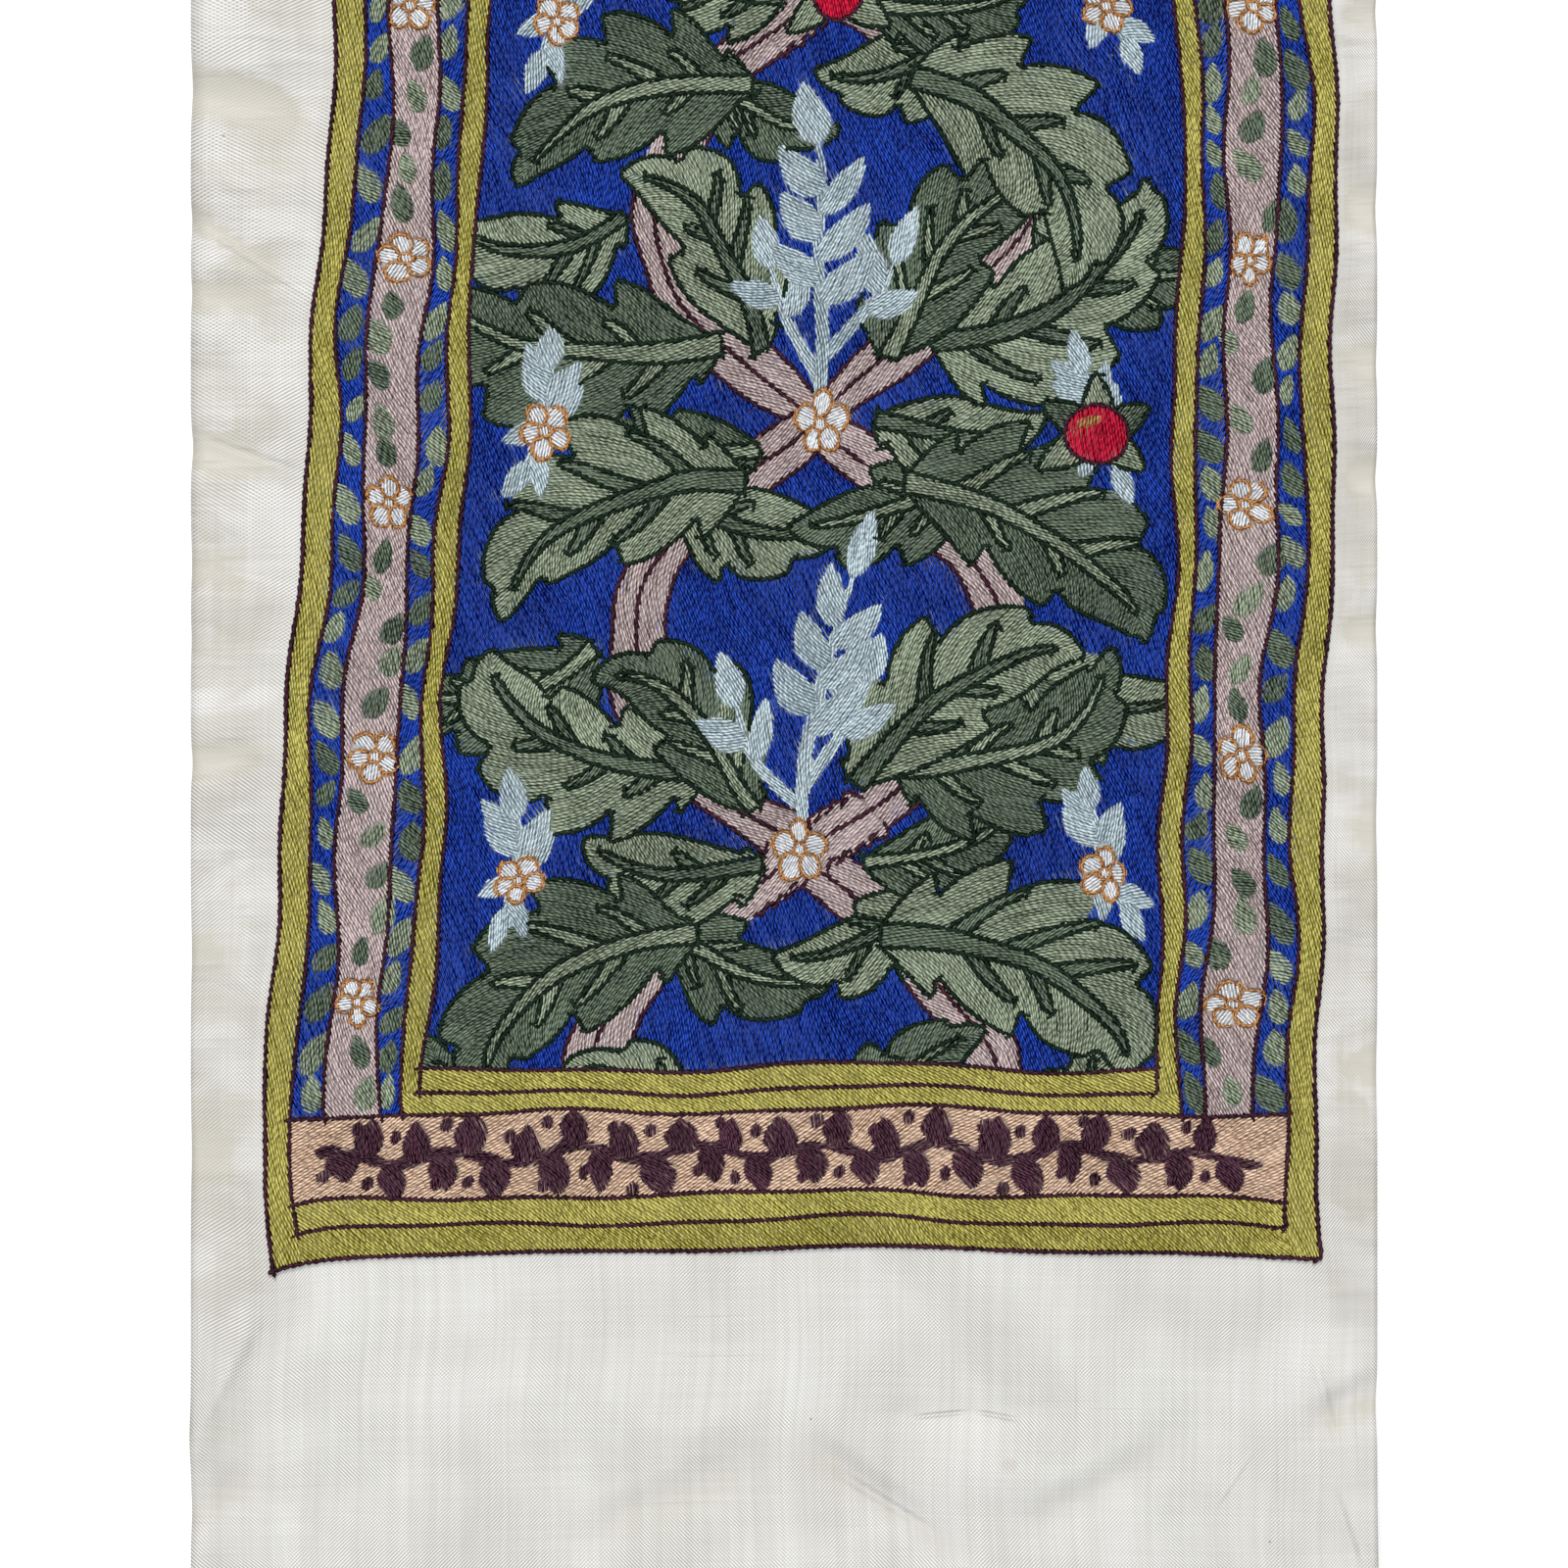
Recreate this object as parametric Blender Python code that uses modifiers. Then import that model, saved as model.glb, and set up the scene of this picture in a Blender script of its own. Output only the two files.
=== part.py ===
"""Embroidered tapestry: one length of plain silk, with a densely stitched panel worked into it.

The cloth lies flat with the design's foot towards -Y. Metres, +Z up, origin under the middle of the cloth.
The stitched panel is thicker than the plain cloth round it, and its outline stitches stand as low ridges.
The margins are puckered where the stitching has drawn the cloth in, and a few loose folds cross the foot.
"""

import math

import bmesh
import bpy
import numpy

MM = 0.001

# The cloth as cut
CLOTH_WIDTH = 254.0
CLOTH_LENGTH = 610.0
CLOTH_THICK = 1.0

# The stitched panel, squared up
PANEL_WIDTH = 225.0
PANEL_LENGTH = 450.0
PANEL_RISE = 0.8
OUTLINE_RISE = 0.35
EDGE_SLOPE = 0.9

# Widths of the stitched bands, from the panel's edge inwards
SIDE_BANDS = (6.1, 6.5, 11.3, 5.7, 4.8)
END_BANDS = (6.1, 5.9, 18.4, 4.4, 5.1)

# Where the panel's edges really run: height above its foot, x of the left edge, x of the right edge
PANEL_EDGES = (
    (0.0, -110.4, 114.8),
    (34.0, -111.2, 114.4),
    (60.0, -109.8, 114.8),
    (91.0, -108.0, 115.5),
    (152.0, -103.8, 117.3),
    (217.0, -99.2, 118.4),
    (270.0, -95.8, 117.7),
    (360.0, -95.2, 115.6),
    (450.0, -97.0, 114.6),
)

# How the panel's foot sags: everywhere, at its left corner, at its right corner, and how far in each reaches
FOOT_RISE = 1.3
LEFT_SAG, LEFT_SAG_REACH = 5.4, 15.0
RIGHT_SAG, RIGHT_SAG_REACH = 1.6, 25.0
FOOT_REACH = 60.0

# How many steps the grid takes over each stretch
LEFT_MARGIN_STEPS = 4
RIGHT_MARGIN_STEPS = 3
FIELD_STEPS_ACROSS = 4
FOOT_MARGIN_STEPS = 10
HEAD_MARGIN_STEPS = 5
FIELD_STEPS_ALONG = 42

# How far the margins stand off the surface at the cloth's edge
SIDE_LIFT = 2.6
END_LIFT = 1.6
LIFT_START = 2.0

# Puckers in the side margins: side (-1 left, 1 right), y at the cloth's edge, slant inwards, half width, depth
PUCKERS = (
    (-1, 208.0, -0.10, 6.5, 2.1),
    (-1, 168.0, 0.15, 5.5, 1.7),
    (-1, 131.0, -0.05, 7.0, 2.3),
    (-1, 92.0, 0.10, 5.0, 1.6),
    (-1, 57.0, -0.12, 6.0, 2.0),
    (-1, 26.0, -0.30, 6.5, 2.3),
    (-1, -2.5, -0.60, 3.8, 1.9),
    (-1, -18.5, -0.10, 3.8, 1.6),
    (-1, -51.0, -0.30, 4.8, 2.6),
    (-1, -76.5, 0.10, 7.0, 1.4),
    (-1, -93.0, 0.05, 4.2, 1.1),
    (-1, -119.5, 0.10, 4.2, 2.1),
    (-1, -160.0, 0.05, 9.0, 1.3),
    (-1, -203.0, 0.05, 9.0, 1.2),
    (1, 190.0, 0.10, 6.0, 1.9),
    (1, 150.0, -0.10, 5.0, 2.1),
    (1, 104.0, 0.15, 7.0, 1.7),
    (1, 70.0, 0.05, 5.0, 2.2),
    (1, 42.0, -0.05, 4.5, 2.3),
    (1, -0.5, 0.05, 5.5, 2.2),
    (1, -34.0, 0.15, 4.5, 1.6),
    (1, -58.5, 0.05, 4.2, 2.4),
    (1, -90.0, -0.10, 5.5, 1.8),
    (1, -132.0, 0.05, 8.0, 1.3),
    (1, -186.0, 0.05, 9.0, 1.3),
)

# Loose folds in the plain cloth: x1, y1, x2, y2, half width, height (a trough is below zero)
FOLDS = (
    (-114.5, -140.0, -115.0, -192.0, 1.8, 0.9),
    (-111.5, -230.0, -126.0, -266.0, 2.2, 1.3),
    (-77.0, -232.0, -78.0, -264.0, 4.0, 0.5),
    (1.0, -231.0, 3.0, -248.0, 3.0, 0.5),
    (24.0, -259.3, 54.0, -258.6, 2.2, -0.9),
    (30.0, -268.5, 66.0, -271.0, 9.0, 1.5),
    (9.0, -270.0, 34.0, -287.0, 4.0, -1.5),
    (-40.0, -284.0, -10.0, -272.0, 7.0, -1.1),
    (56.0, -281.0, 82.0, -268.0, 6.0, -1.2),
    (119.0, -260.0, 127.0, -256.0, 5.0, -1.8),
    (115.0, -251.0, 124.0, -291.0, 3.5, 1.3),
    (-127.0, -281.0, -119.0, -276.0, 5.0, -1.4),
    (-60.0, 262.0, -10.0, 268.0, 8.0, 0.9),
    (30.0, 276.0, 78.0, 270.0, 7.0, 1.1),
)

SILK_COLOUR = (0.80, 0.78, 0.72, 1.0)
SILK_ROUGHNESS = 0.55


def ease(share):
    """A share from 0 to 1, smoothed at both ends."""
    share = min(1.0, max(0.0, share))
    return share * share * (3.0 - 2.0 * share)


def between(low, high, share):
    return low + (high - low) * share


def steps(start, end, count):
    """The lines that part a stretch into equal steps, without its first line."""
    return [between(start, end, (i + 1) / count) for i in range(count)]


def band_lines(start, widths, direction):
    """A line on the middle of each band and one on the outline that ends it."""
    lines, outlines = [], []
    at = start
    for width in widths:
        lines.append(at + direction * width / 2)
        at += direction * width
        lines.append(at)
        outlines.append(at)
    return lines, outlines


def grid_lines(half_cloth, half_panel, bands, margin_steps, field_steps):
    """Every grid line along one direction, from low to high, and those that carry outline stitches."""
    low_bands, low_outlines = band_lines(-half_panel, bands, 1)
    high_bands, high_outlines = band_lines(half_panel, bands, -1)
    low_slope, high_slope = -half_panel - EDGE_SLOPE, half_panel + EDGE_SLOPE
    lines = [-half_cloth] + steps(-half_cloth, low_slope, margin_steps[0])
    lines += [-half_panel] + low_bands
    lines += steps(low_bands[-1], high_bands[-1], field_steps)[:-1]
    lines += high_bands[::-1] + [half_panel]
    lines += [high_slope] + steps(high_slope, half_cloth, margin_steps[1])
    return lines, low_outlines + high_outlines + [-half_panel, half_panel]


def on_line(value, lines):
    return any(abs(value - line) < 0.01 for line in lines)


def panel_edges(y):
    """Where the panel's left and right edges lie at this height: it leans, and is wider at its foot."""
    heights, lefts, rights = zip(*PANEL_EDGES)
    height = y + PANEL_LENGTH / 2
    return float(numpy.interp(height, heights, lefts)), float(numpy.interp(height, heights, rights))


def hand_drawn(u, v):
    """A point of the squared-up design, moved to where the hand-drawn one has it on the cloth."""
    left, right = panel_edges(v)
    half_panel, half_cloth = PANEL_WIDTH / 2, CLOTH_WIDTH / 2
    if u < -half_panel:
        x = between(-half_cloth, left, (u + half_cloth) / (half_cloth - half_panel))
    elif u > half_panel:
        x = between(right, half_cloth, (u - half_panel) / (half_cloth - half_panel))
    else:
        x = between(left, right, (u + half_panel) / PANEL_WIDTH)
    near_edge = ease((half_cloth - abs(u)) / 12.0) * ease((CLOTH_LENGTH / 2 - abs(v)) / 20.0)
    x += near_edge * (0.6 * math.sin(v / 13.2 + 0.4) + 0.35 * math.sin(v / 5.9 + 0.03 * u))
    sag = FOOT_RISE - LEFT_SAG * math.exp(-max(0.0, half_panel + u) / LEFT_SAG_REACH)
    sag -= RIGHT_SAG * math.exp(-max(0.0, half_panel - u) / RIGHT_SAG_REACH)
    at_foot = ease((FOOT_REACH - PANEL_LENGTH / 2 - v) / FOOT_REACH) * ease((v + CLOTH_LENGTH / 2) / FOOT_REACH)
    wave = 0.6 * math.sin(u / 23.0 + 0.9) + 0.3 * math.sin(u / 10.5)
    return x, v + near_edge * (at_foot * sag + wave)


def pucker_height(side, x, y):
    """The side margin's lift, drawn down again in each pucker."""
    left, right = panel_edges(y)
    rim = CLOTH_WIDTH / 2
    inner = right if side > 0 else -left
    share = ease((side * x - inner - LIFT_START) / (rim - inner - LIFT_START))
    height = SIDE_LIFT
    for row_side, row_y, slant, half_width, depth in PUCKERS:
        if row_side == side:
            off = (y - row_y - slant * (rim - side * x)) / half_width
            height -= depth * math.exp(-off * off)
    return share * max(0.0, height)


def fold_height(x, y, fold):
    """One loose fold: rounded across, and eased out at both ends."""
    x1, y1, x2, y2, half_width, height = fold
    length = math.hypot(x2 - x1, y2 - y1)
    along = ((x - x1) * (x2 - x1) + (y - y1) * (y2 - y1)) / length
    across = ((x - x1) * (y2 - y1) - (y - y1) * (x2 - x1)) / length
    past = max(0.0, -along, along - length) / (half_width * 1.6)
    return height * math.exp(-((across / half_width) ** 2) - past * past)


def loft(x, y):
    """How far the cloth's underside stands off the surface at this point. The panel lies flat."""
    left, right = panel_edges(y)
    height = pucker_height(-1, x, y) if x < left else pucker_height(1, x, y) if x > right else 0.0
    end_margin = (CLOTH_LENGTH - PANEL_LENGTH) / 2 - LEFT_SAG - LIFT_START
    past_end = abs(y) - CLOTH_LENGTH / 2 + end_margin
    height = max(height, END_LIFT * ease(past_end / end_margin))
    clear = max(ease((left - x - 1.0) / 6.0), ease((x - right - 1.0) / 6.0), ease(past_end / 8.0))
    if clear > 0.0:
        height += clear * sum(fold_height(x, y, fold) for fold in FOLDS)
    return max(0.0, height)


def stitched_weight(u, v, outlines_u, outlines_v):
    """How much of the full thickness the cloth has here, from the plain silk to the outline stitches."""
    full = CLOTH_THICK + PANEL_RISE + OUTLINE_RISE
    on_panel = abs(u) <= PANEL_WIDTH / 2 + 0.01 and abs(v) <= PANEL_LENGTH / 2 + 0.01
    if not on_panel:
        return CLOTH_THICK / full
    outlined = on_line(u, outlines_u) or on_line(v, outlines_v)
    return 1.0 if outlined else (CLOTH_THICK + PANEL_RISE) / full


def silk_material():
    material = bpy.data.materials.new("ivory_silk")
    material.use_nodes = True
    shader = material.node_tree.nodes["Principled BSDF"]
    shader.inputs["Base Color"].default_value = SILK_COLOUR
    shader.inputs["Roughness"].default_value = SILK_ROUGHNESS
    shader.inputs["Metallic"].default_value = 0.0
    return material


def squared_up_grid(across, along):
    """A grid with a point at each pair of lines, and rows twice as close in the puckered side margins."""
    shape = bmesh.new()
    bmesh.ops.create_grid(shape, x_segments=len(across) - 1, y_segments=len(along) - 1, size=0.5)
    for point in shape.verts:
        column = round((point.co.x + 0.5) * (len(across) - 1))
        row = round((point.co.y + 0.5) * (len(along) - 1))
        point.co = (across[column], along[row], 0.0)
    margin_edges = []
    for edge in shape.edges:
        low, high = (point.co for point in edge.verts)
        beside_panel = max(abs(low.y), abs(high.y)) < PANEL_LENGTH / 2
        if abs(low.x - high.x) < 0.001 and abs(low.x) > PANEL_WIDTH / 2 + 0.1 and beside_panel:
            margin_edges.append(edge)
    bmesh.ops.subdivide_edges(shape, edges=margin_edges, cuts=1, use_grid_fill=True)
    return shape


def embroidered_cloth(collection):
    """The whole cloth as one solid: a grid on the folds, thickened upwards and most where it is stitched."""
    across, outlines_u = grid_lines(
        CLOTH_WIDTH / 2, PANEL_WIDTH / 2, SIDE_BANDS,
        (LEFT_MARGIN_STEPS, RIGHT_MARGIN_STEPS), FIELD_STEPS_ACROSS,
    )
    along, outlines_v = grid_lines(
        CLOTH_LENGTH / 2, PANEL_LENGTH / 2, END_BANDS,
        (FOOT_MARGIN_STEPS, HEAD_MARGIN_STEPS), FIELD_STEPS_ALONG,
    )
    mesh = bpy.data.meshes.new("embroidered_cloth")
    cloth = bpy.data.objects.new("embroidered_cloth", mesh)
    collection.objects.link(cloth)

    shape = squared_up_grid(across, along)
    weights = []
    for point in shape.verts:
        u, v = point.co.x, point.co.y
        x, y = hand_drawn(u, v)
        point.co = (x * MM, y * MM, loft(x, y) * MM)
        weights.append(stitched_weight(u, v, outlines_u, outlines_v))
    bmesh.ops.recalc_face_normals(shape, faces=shape.faces)
    if shape.faces[:][0].normal.z < 0.0:
        bmesh.ops.reverse_faces(shape, faces=shape.faces)
    shape.to_mesh(mesh)
    shape.free()

    group = cloth.vertex_groups.new(name="thickness")
    for index, weight in enumerate(weights):
        group.add([index], weight, "REPLACE")
    thicken = cloth.modifiers.new("thickness", "SOLIDIFY")
    thicken.thickness = (CLOTH_THICK + PANEL_RISE + OUTLINE_RISE) * MM
    thicken.offset = 1.0
    thicken.vertex_group = group.name
    thicken.thickness_vertex_group = 0.0
    mesh.shade_smooth()
    mesh.materials.append(silk_material())
    return cloth


def main():
    for leftover in list(bpy.data.objects):
        bpy.data.objects.remove(leftover)
    collection = bpy.data.collections.new("embroidered_tapestry")
    bpy.context.scene.collection.children.link(collection)
    embroidered_cloth(collection)


main()
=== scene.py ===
"""Looks of the embroidered tapestry: a length of silk with a panel filled with thread, lying flat."""

from collections import namedtuple

import bmesh
import bpy
import numpy as np
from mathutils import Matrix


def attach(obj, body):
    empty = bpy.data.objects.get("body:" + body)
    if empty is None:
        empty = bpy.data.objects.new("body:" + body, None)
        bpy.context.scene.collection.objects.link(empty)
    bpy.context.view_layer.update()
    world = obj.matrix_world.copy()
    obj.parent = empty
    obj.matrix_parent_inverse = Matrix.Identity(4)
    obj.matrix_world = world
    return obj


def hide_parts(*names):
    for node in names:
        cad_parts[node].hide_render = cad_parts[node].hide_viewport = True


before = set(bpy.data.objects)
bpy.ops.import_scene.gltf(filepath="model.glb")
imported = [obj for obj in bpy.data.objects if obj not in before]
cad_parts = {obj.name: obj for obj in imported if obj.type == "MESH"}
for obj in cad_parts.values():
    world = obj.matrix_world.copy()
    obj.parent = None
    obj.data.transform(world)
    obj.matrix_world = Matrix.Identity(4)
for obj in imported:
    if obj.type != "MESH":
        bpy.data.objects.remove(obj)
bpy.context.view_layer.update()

MM = 0.001

# Camera and light
# The cloth lies on a pale floor and is looked at from straight above its lower half, as by a phone held over
# it. A broad soft light from past its head end rounds the folds and the stitches, and a weak one beyond its
# foot and the sky fill the shadows.
VIEW_MIDDLE = (0.0, -123.8)
VIEW_WIDTH = 337.3
VIEW_HEIGHT = 620.0
SENSOR = 36.0
camera = bpy.data.objects.new("camera", bpy.data.cameras.new("camera"))
camera.data.sensor_width = SENSOR
camera.data.lens = SENSOR * VIEW_HEIGHT / VIEW_WIDTH
camera.data.clip_start = 0.01
camera.location = (VIEW_MIDDLE[0] * MM, VIEW_MIDDLE[1] * MM, VIEW_HEIGHT * MM)
bpy.context.scene.collection.objects.link(camera)
bpy.context.scene.camera = camera
bpy.context.scene.view_settings.view_transform = "Standard"


def area_light(name, place, size, watts, colour):
    """A square light that faces the middle of the cloth."""
    light = bpy.data.lights.new(name, "AREA")
    light.size = size
    light.energy = watts
    light.color = colour
    lamp = bpy.data.objects.new(name, light)
    lamp.location = place
    lamp.rotation_euler = (-lamp.location).to_track_quat("-Z", "Y").to_euler()
    bpy.context.scene.collection.objects.link(lamp)


COOL_WHITE = (0.95, 0.97, 1.0)
SKY_STRENGTH = 0.48
area_light("window", place=(0.0, 1.95, 2.55), size=1.0, watts=74.0, colour=(1.0, 0.985, 0.95))
area_light("room", place=(-0.3, -0.9, 1.2), size=1.2, watts=9.2, colour=COOL_WHITE)
sky = bpy.data.worlds.new("sky")
sky.use_nodes = True
sky_inputs = sky.node_tree.nodes["Background"].inputs
sky_inputs["Color"].default_value = (*COOL_WHITE, 1.0)
sky_inputs["Strength"].default_value = SKY_STRENGTH
bpy.context.scene.world = sky

# Silk ground
# One cut length of plain-woven ivory silk, with no hem. The dense stitching has drawn the panel a little
# together, so the bare margins pucker and a few loose folds cross the foot.
CLOTH_WIDTH, CLOTH_LENGTH = 254.0, 610.0
PANEL_WIDTH, PANEL_LENGTH = 225.0, 450.0
SILK_THICK, WORKED_THICK = 0.5, 1.0
EDGE_SLOPE = 0.9
HALF_CLOTH, HALF_PANEL = CLOTH_WIDTH / 2, PANEL_WIDTH / 2
SIDE_LIFT, END_LIFT, LIFT_START = 2.6, 1.6, 2.0
FOOT_RISE, FOOT_REACH = 1.3, 60.0
LEFT_SAG, LEFT_SAG_REACH = 5.4, 15.0
RIGHT_SAG, RIGHT_SAG_REACH = 1.6, 25.0
STEADY_SIDE, STEADY_END, STEADY_LINE = 12.0, 20.0, 6.0
FOLDS_START_SIDE, FOLDS_START_END = 6.0, 8.0
PUCKER_POWER = 0.6

# Height above the panel's foot, x of its left edge, x of its right edge
PANEL_EDGES = (
    (0.0, -110.4, 114.8),
    (34.0, -111.2, 114.4),
    (60.0, -109.8, 114.8),
    (91.0, -108.0, 115.5),
    (152.0, -103.8, 117.3),
    (217.0, -99.2, 118.4),
    (270.0, -95.8, 117.7),
    (360.0, -95.2, 115.6),
    (450.0, -97.0, 114.6),
)

# Side (-1 left, 1 right), y at the cloth's edge, slant inwards, half width, depth
PUCKERS = (
    (-1, 208.0, -0.10, 6.5, 2.1),
    (-1, 168.0, 0.15, 5.5, 1.7),
    (-1, 131.0, -0.05, 7.0, 2.3),
    (-1, 92.0, 0.10, 5.0, 1.6),
    (-1, 57.0, -0.12, 6.0, 2.0),
    (-1, 26.0, -0.30, 6.5, 2.3),
    (-1, -2.5, -0.60, 3.8, 1.9),
    (-1, -18.5, -0.10, 3.8, 1.6),
    (-1, -51.0, -0.30, 4.8, 2.6),
    (-1, -76.5, 0.10, 7.0, 1.4),
    (-1, -93.0, 0.05, 4.2, 1.1),
    (-1, -119.5, 0.10, 4.2, 2.1),
    (-1, -160.0, 0.05, 9.0, 1.3),
    (-1, -203.0, 0.05, 9.0, 1.2),
    (1, 190.0, 0.10, 6.0, 1.9),
    (1, 150.0, -0.10, 5.0, 2.1),
    (1, 104.0, 0.15, 7.0, 1.7),
    (1, 70.0, 0.05, 5.0, 2.2),
    (1, 42.0, -0.05, 4.5, 2.3),
    (1, -0.5, 0.05, 5.5, 2.2),
    (1, -34.0, 0.15, 4.5, 1.6),
    (1, -58.5, 0.05, 4.2, 2.4),
    (1, -90.0, -0.10, 5.5, 1.8),
    (1, -132.0, 0.05, 8.0, 1.3),
    (1, -186.0, 0.05, 9.0, 1.3),
)

# x1, y1, x2, y2, half width, height (a trough is below zero)
FOLDS = (
    (-114.5, -140.0, -115.0, -192.0, 1.8, 0.9),
    (-111.5, -230.0, -126.0, -266.0, 2.2, 1.3),
    (-77.0, -232.0, -78.0, -264.0, 4.0, 0.5),
    (1.0, -231.0, 3.0, -248.0, 3.0, 0.5),
    (24.0, -259.3, 54.0, -258.6, 2.2, -0.9),
    (30.0, -268.5, 66.0, -271.0, 9.0, 1.5),
    (9.0, -270.0, 34.0, -287.0, 4.0, -1.5),
    (-40.0, -284.0, -10.0, -272.0, 7.0, -1.1),
    (56.0, -281.0, 82.0, -268.0, 6.0, -1.2),
    (119.0, -260.0, 127.0, -256.0, 5.0, -1.8),
    (115.0, -251.0, 124.0, -291.0, 3.5, 1.3),
    (-127.0, -281.0, -119.0, -276.0, 5.0, -1.4),
    (-60.0, 262.0, -10.0, 268.0, 8.0, 0.9),
    (30.0, 276.0, 78.0, 270.0, 7.0, 1.1),
)


def ease(share):
    """A share from 0 to 1, smoothed at both ends."""
    share = np.clip(share, 0.0, 1.0)
    return share * share * (3.0 - 2.0 * share)


def panel_edges(y):
    """Where the panel's left and right edges are at a height on the cloth."""
    heights, lefts, rights = zip(*PANEL_EDGES)
    height = y + PANEL_LENGTH / 2
    return np.interp(height, heights, lefts), np.interp(height, heights, rights)


def hand_drawn(u, v):
    """Points of the squared-up design, moved to where the hand-drawn one has them on the cloth."""
    left, right = panel_edges(v)
    margin = HALF_CLOTH - HALF_PANEL
    x = left + (right - left) * (u + HALF_PANEL) / PANEL_WIDTH
    x = np.where(u < -HALF_PANEL, (left + HALF_CLOTH) * (u + HALF_CLOTH) / margin - HALF_CLOTH, x)
    x = np.where(u > HALF_PANEL, right + (HALF_CLOTH - right) * (u - HALF_PANEL) / margin, x)
    free = ease((HALF_CLOTH - abs(u)) / STEADY_SIDE) * ease((CLOTH_LENGTH / 2 - abs(v)) / STEADY_END)
    x = x + free * (0.6 * np.sin(v / 13.2 + 0.4) + 0.35 * np.sin(v / 5.9 + 0.03 * u))
    sag = FOOT_RISE - LEFT_SAG * np.exp(-np.maximum(0.0, HALF_PANEL + u) / LEFT_SAG_REACH)
    sag -= RIGHT_SAG * np.exp(-np.maximum(0.0, HALF_PANEL - u) / RIGHT_SAG_REACH)
    at_foot = ease((FOOT_REACH - PANEL_LENGTH / 2 - v) / FOOT_REACH)
    at_foot = at_foot * ease((v + CLOTH_LENGTH / 2) / FOOT_REACH)
    wave = 0.6 * np.sin(u / 23.0 + 0.9) + 0.3 * np.sin(u / 10.5)
    return x, v + free * (at_foot * sag + wave)


def worked(u, v):
    """Where a point of the design is stitched: inside the panel's edge the hand strays from its lines."""
    free = ease((HALF_PANEL - abs(u)) / STEADY_LINE) * ease((PANEL_LENGTH / 2 - abs(v)) / STEADY_LINE)
    stray_u = 0.7 * np.sin(v / 15.0 + u / 5.5) + 0.4 * np.sin(v / 7.1 - u / 4.0)
    stray_v = 0.5 * np.sin(u / 14.0 + v / 6.0) + 0.3 * np.sin(u / 6.1 - v / 9.0)
    return hand_drawn(u + free * stray_u, v + free * stray_v)


def pucker_height(side, x, y):
    """A side margin rises to its cut edge, and dips back to the floor at each pucker."""
    left, right = panel_edges(y)
    inner = right if side > 0 else -left
    share = ease((side * x - inner - LIFT_START) / (HALF_CLOTH - inner - LIFT_START)) ** PUCKER_POWER
    height = SIDE_LIFT
    for row_side, row_y, slant, half_width, depth in PUCKERS:
        if row_side == side:
            off = (y - row_y - slant * (HALF_CLOTH - side * x)) / half_width
            height = height - depth * np.exp(-off * off)
    return share * np.maximum(0.0, height)


def fold_height(x, y, fold):
    """A rounded ridge or trough along a line, that fades out past the line's ends."""
    x1, y1, x2, y2, half_width, height = fold
    length = np.hypot(x2 - x1, y2 - y1)
    along = ((x - x1) * (x2 - x1) + (y - y1) * (y2 - y1)) / length
    across = ((x - x1) * (y2 - y1) - (y - y1) * (x2 - x1)) / length
    past = np.maximum(0.0, np.maximum(-along, along - length)) / (half_width * 1.6)
    return height * np.exp(-((across / half_width) ** 2) - past * past)


def loft(x, y):
    """How far the cloth's underside stands off the floor. The panel lies flat."""
    left, right = panel_edges(y)
    height = np.where(x < left, pucker_height(-1, x, y), np.where(x > right, pucker_height(1, x, y), 0.0))
    end_margin = (CLOTH_LENGTH - PANEL_LENGTH) / 2 - LEFT_SAG - LIFT_START
    past_end = abs(y) - CLOTH_LENGTH / 2 + end_margin
    height = np.maximum(height, END_LIFT * ease(past_end / end_margin))
    off_panel = np.maximum(left - x, x - right) - 1.0
    clear = np.maximum(ease(off_panel / FOLDS_START_SIDE), ease(past_end / FOLDS_START_END))
    return np.maximum(0.0, height + clear * sum(fold_height(x, y, fold) for fold in FOLDS))


def relief(x, y):
    """The worked panel isn't dead flat: its top swells and dips a little from the pull of the stitches."""
    swell = 0.10 * np.sin(x / 9.1 + 0.8 * np.sin(y / 21.0)) * np.sin(y / 12.7 + 0.5)
    return swell + 0.07 * np.sin(x / 21.0 - y / 33.0) + 0.05 * np.sin(y / 5.3 + x / 17.0)


def lines(stretches):
    """Grid lines over stretches that each give an end and a number of steps, from a first line."""
    found = [stretches[0]]
    for end, count in stretches[1:]:
        found += list(np.linspace(found[-1], end, count + 1)[1:])
    return np.array(found)


half_worked = HALF_PANEL + EDGE_SLOPE
across = lines((-HALF_CLOTH, (-half_worked, 8), (-HALF_PANEL, 1), (HALF_PANEL, 96), (half_worked, 1),
                (HALF_CLOTH, 8)))
half_worked = PANEL_LENGTH / 2 + EDGE_SLOPE
along = lines((-CLOTH_LENGTH / 2, (-half_worked, 56), (-PANEL_LENGTH / 2, 1), (PANEL_LENGTH / 2, 172),
               (half_worked, 1), (CLOTH_LENGTH / 2, 30)))
cloth_u, cloth_v = (grid.ravel() for grid in np.meshgrid(across, along))
cloth_x, cloth_y = hand_drawn(cloth_u, cloth_v)
corner = np.arange(cloth_u.size).reshape(len(along), len(across))
faces = np.stack([corner[:-1, :-1], corner[:-1, 1:], corner[1:, 1:], corner[1:, :-1]], -1).reshape(-1, 4)
silk_mesh = bpy.data.meshes.new("silk")
silk_mesh.from_pydata(np.stack([cloth_x, cloth_y, loft(cloth_x, cloth_y)], -1) * MM, [], faces)
silk = bpy.data.objects.new("silk", silk_mesh)
bpy.context.scene.collection.objects.link(silk)

NEAR = 0.01
on_panel = (abs(cloth_u) < HALF_PANEL + NEAR) & (abs(cloth_v) < PANEL_LENGTH / 2 + NEAR)
thick = np.where(on_panel, WORKED_THICK + relief(cloth_x, cloth_y), SILK_THICK)
group = silk.vertex_groups.new(name="thickness")
for index, weight in enumerate(thick / thick.max()):
    group.add([index], float(weight), "REPLACE")

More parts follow.
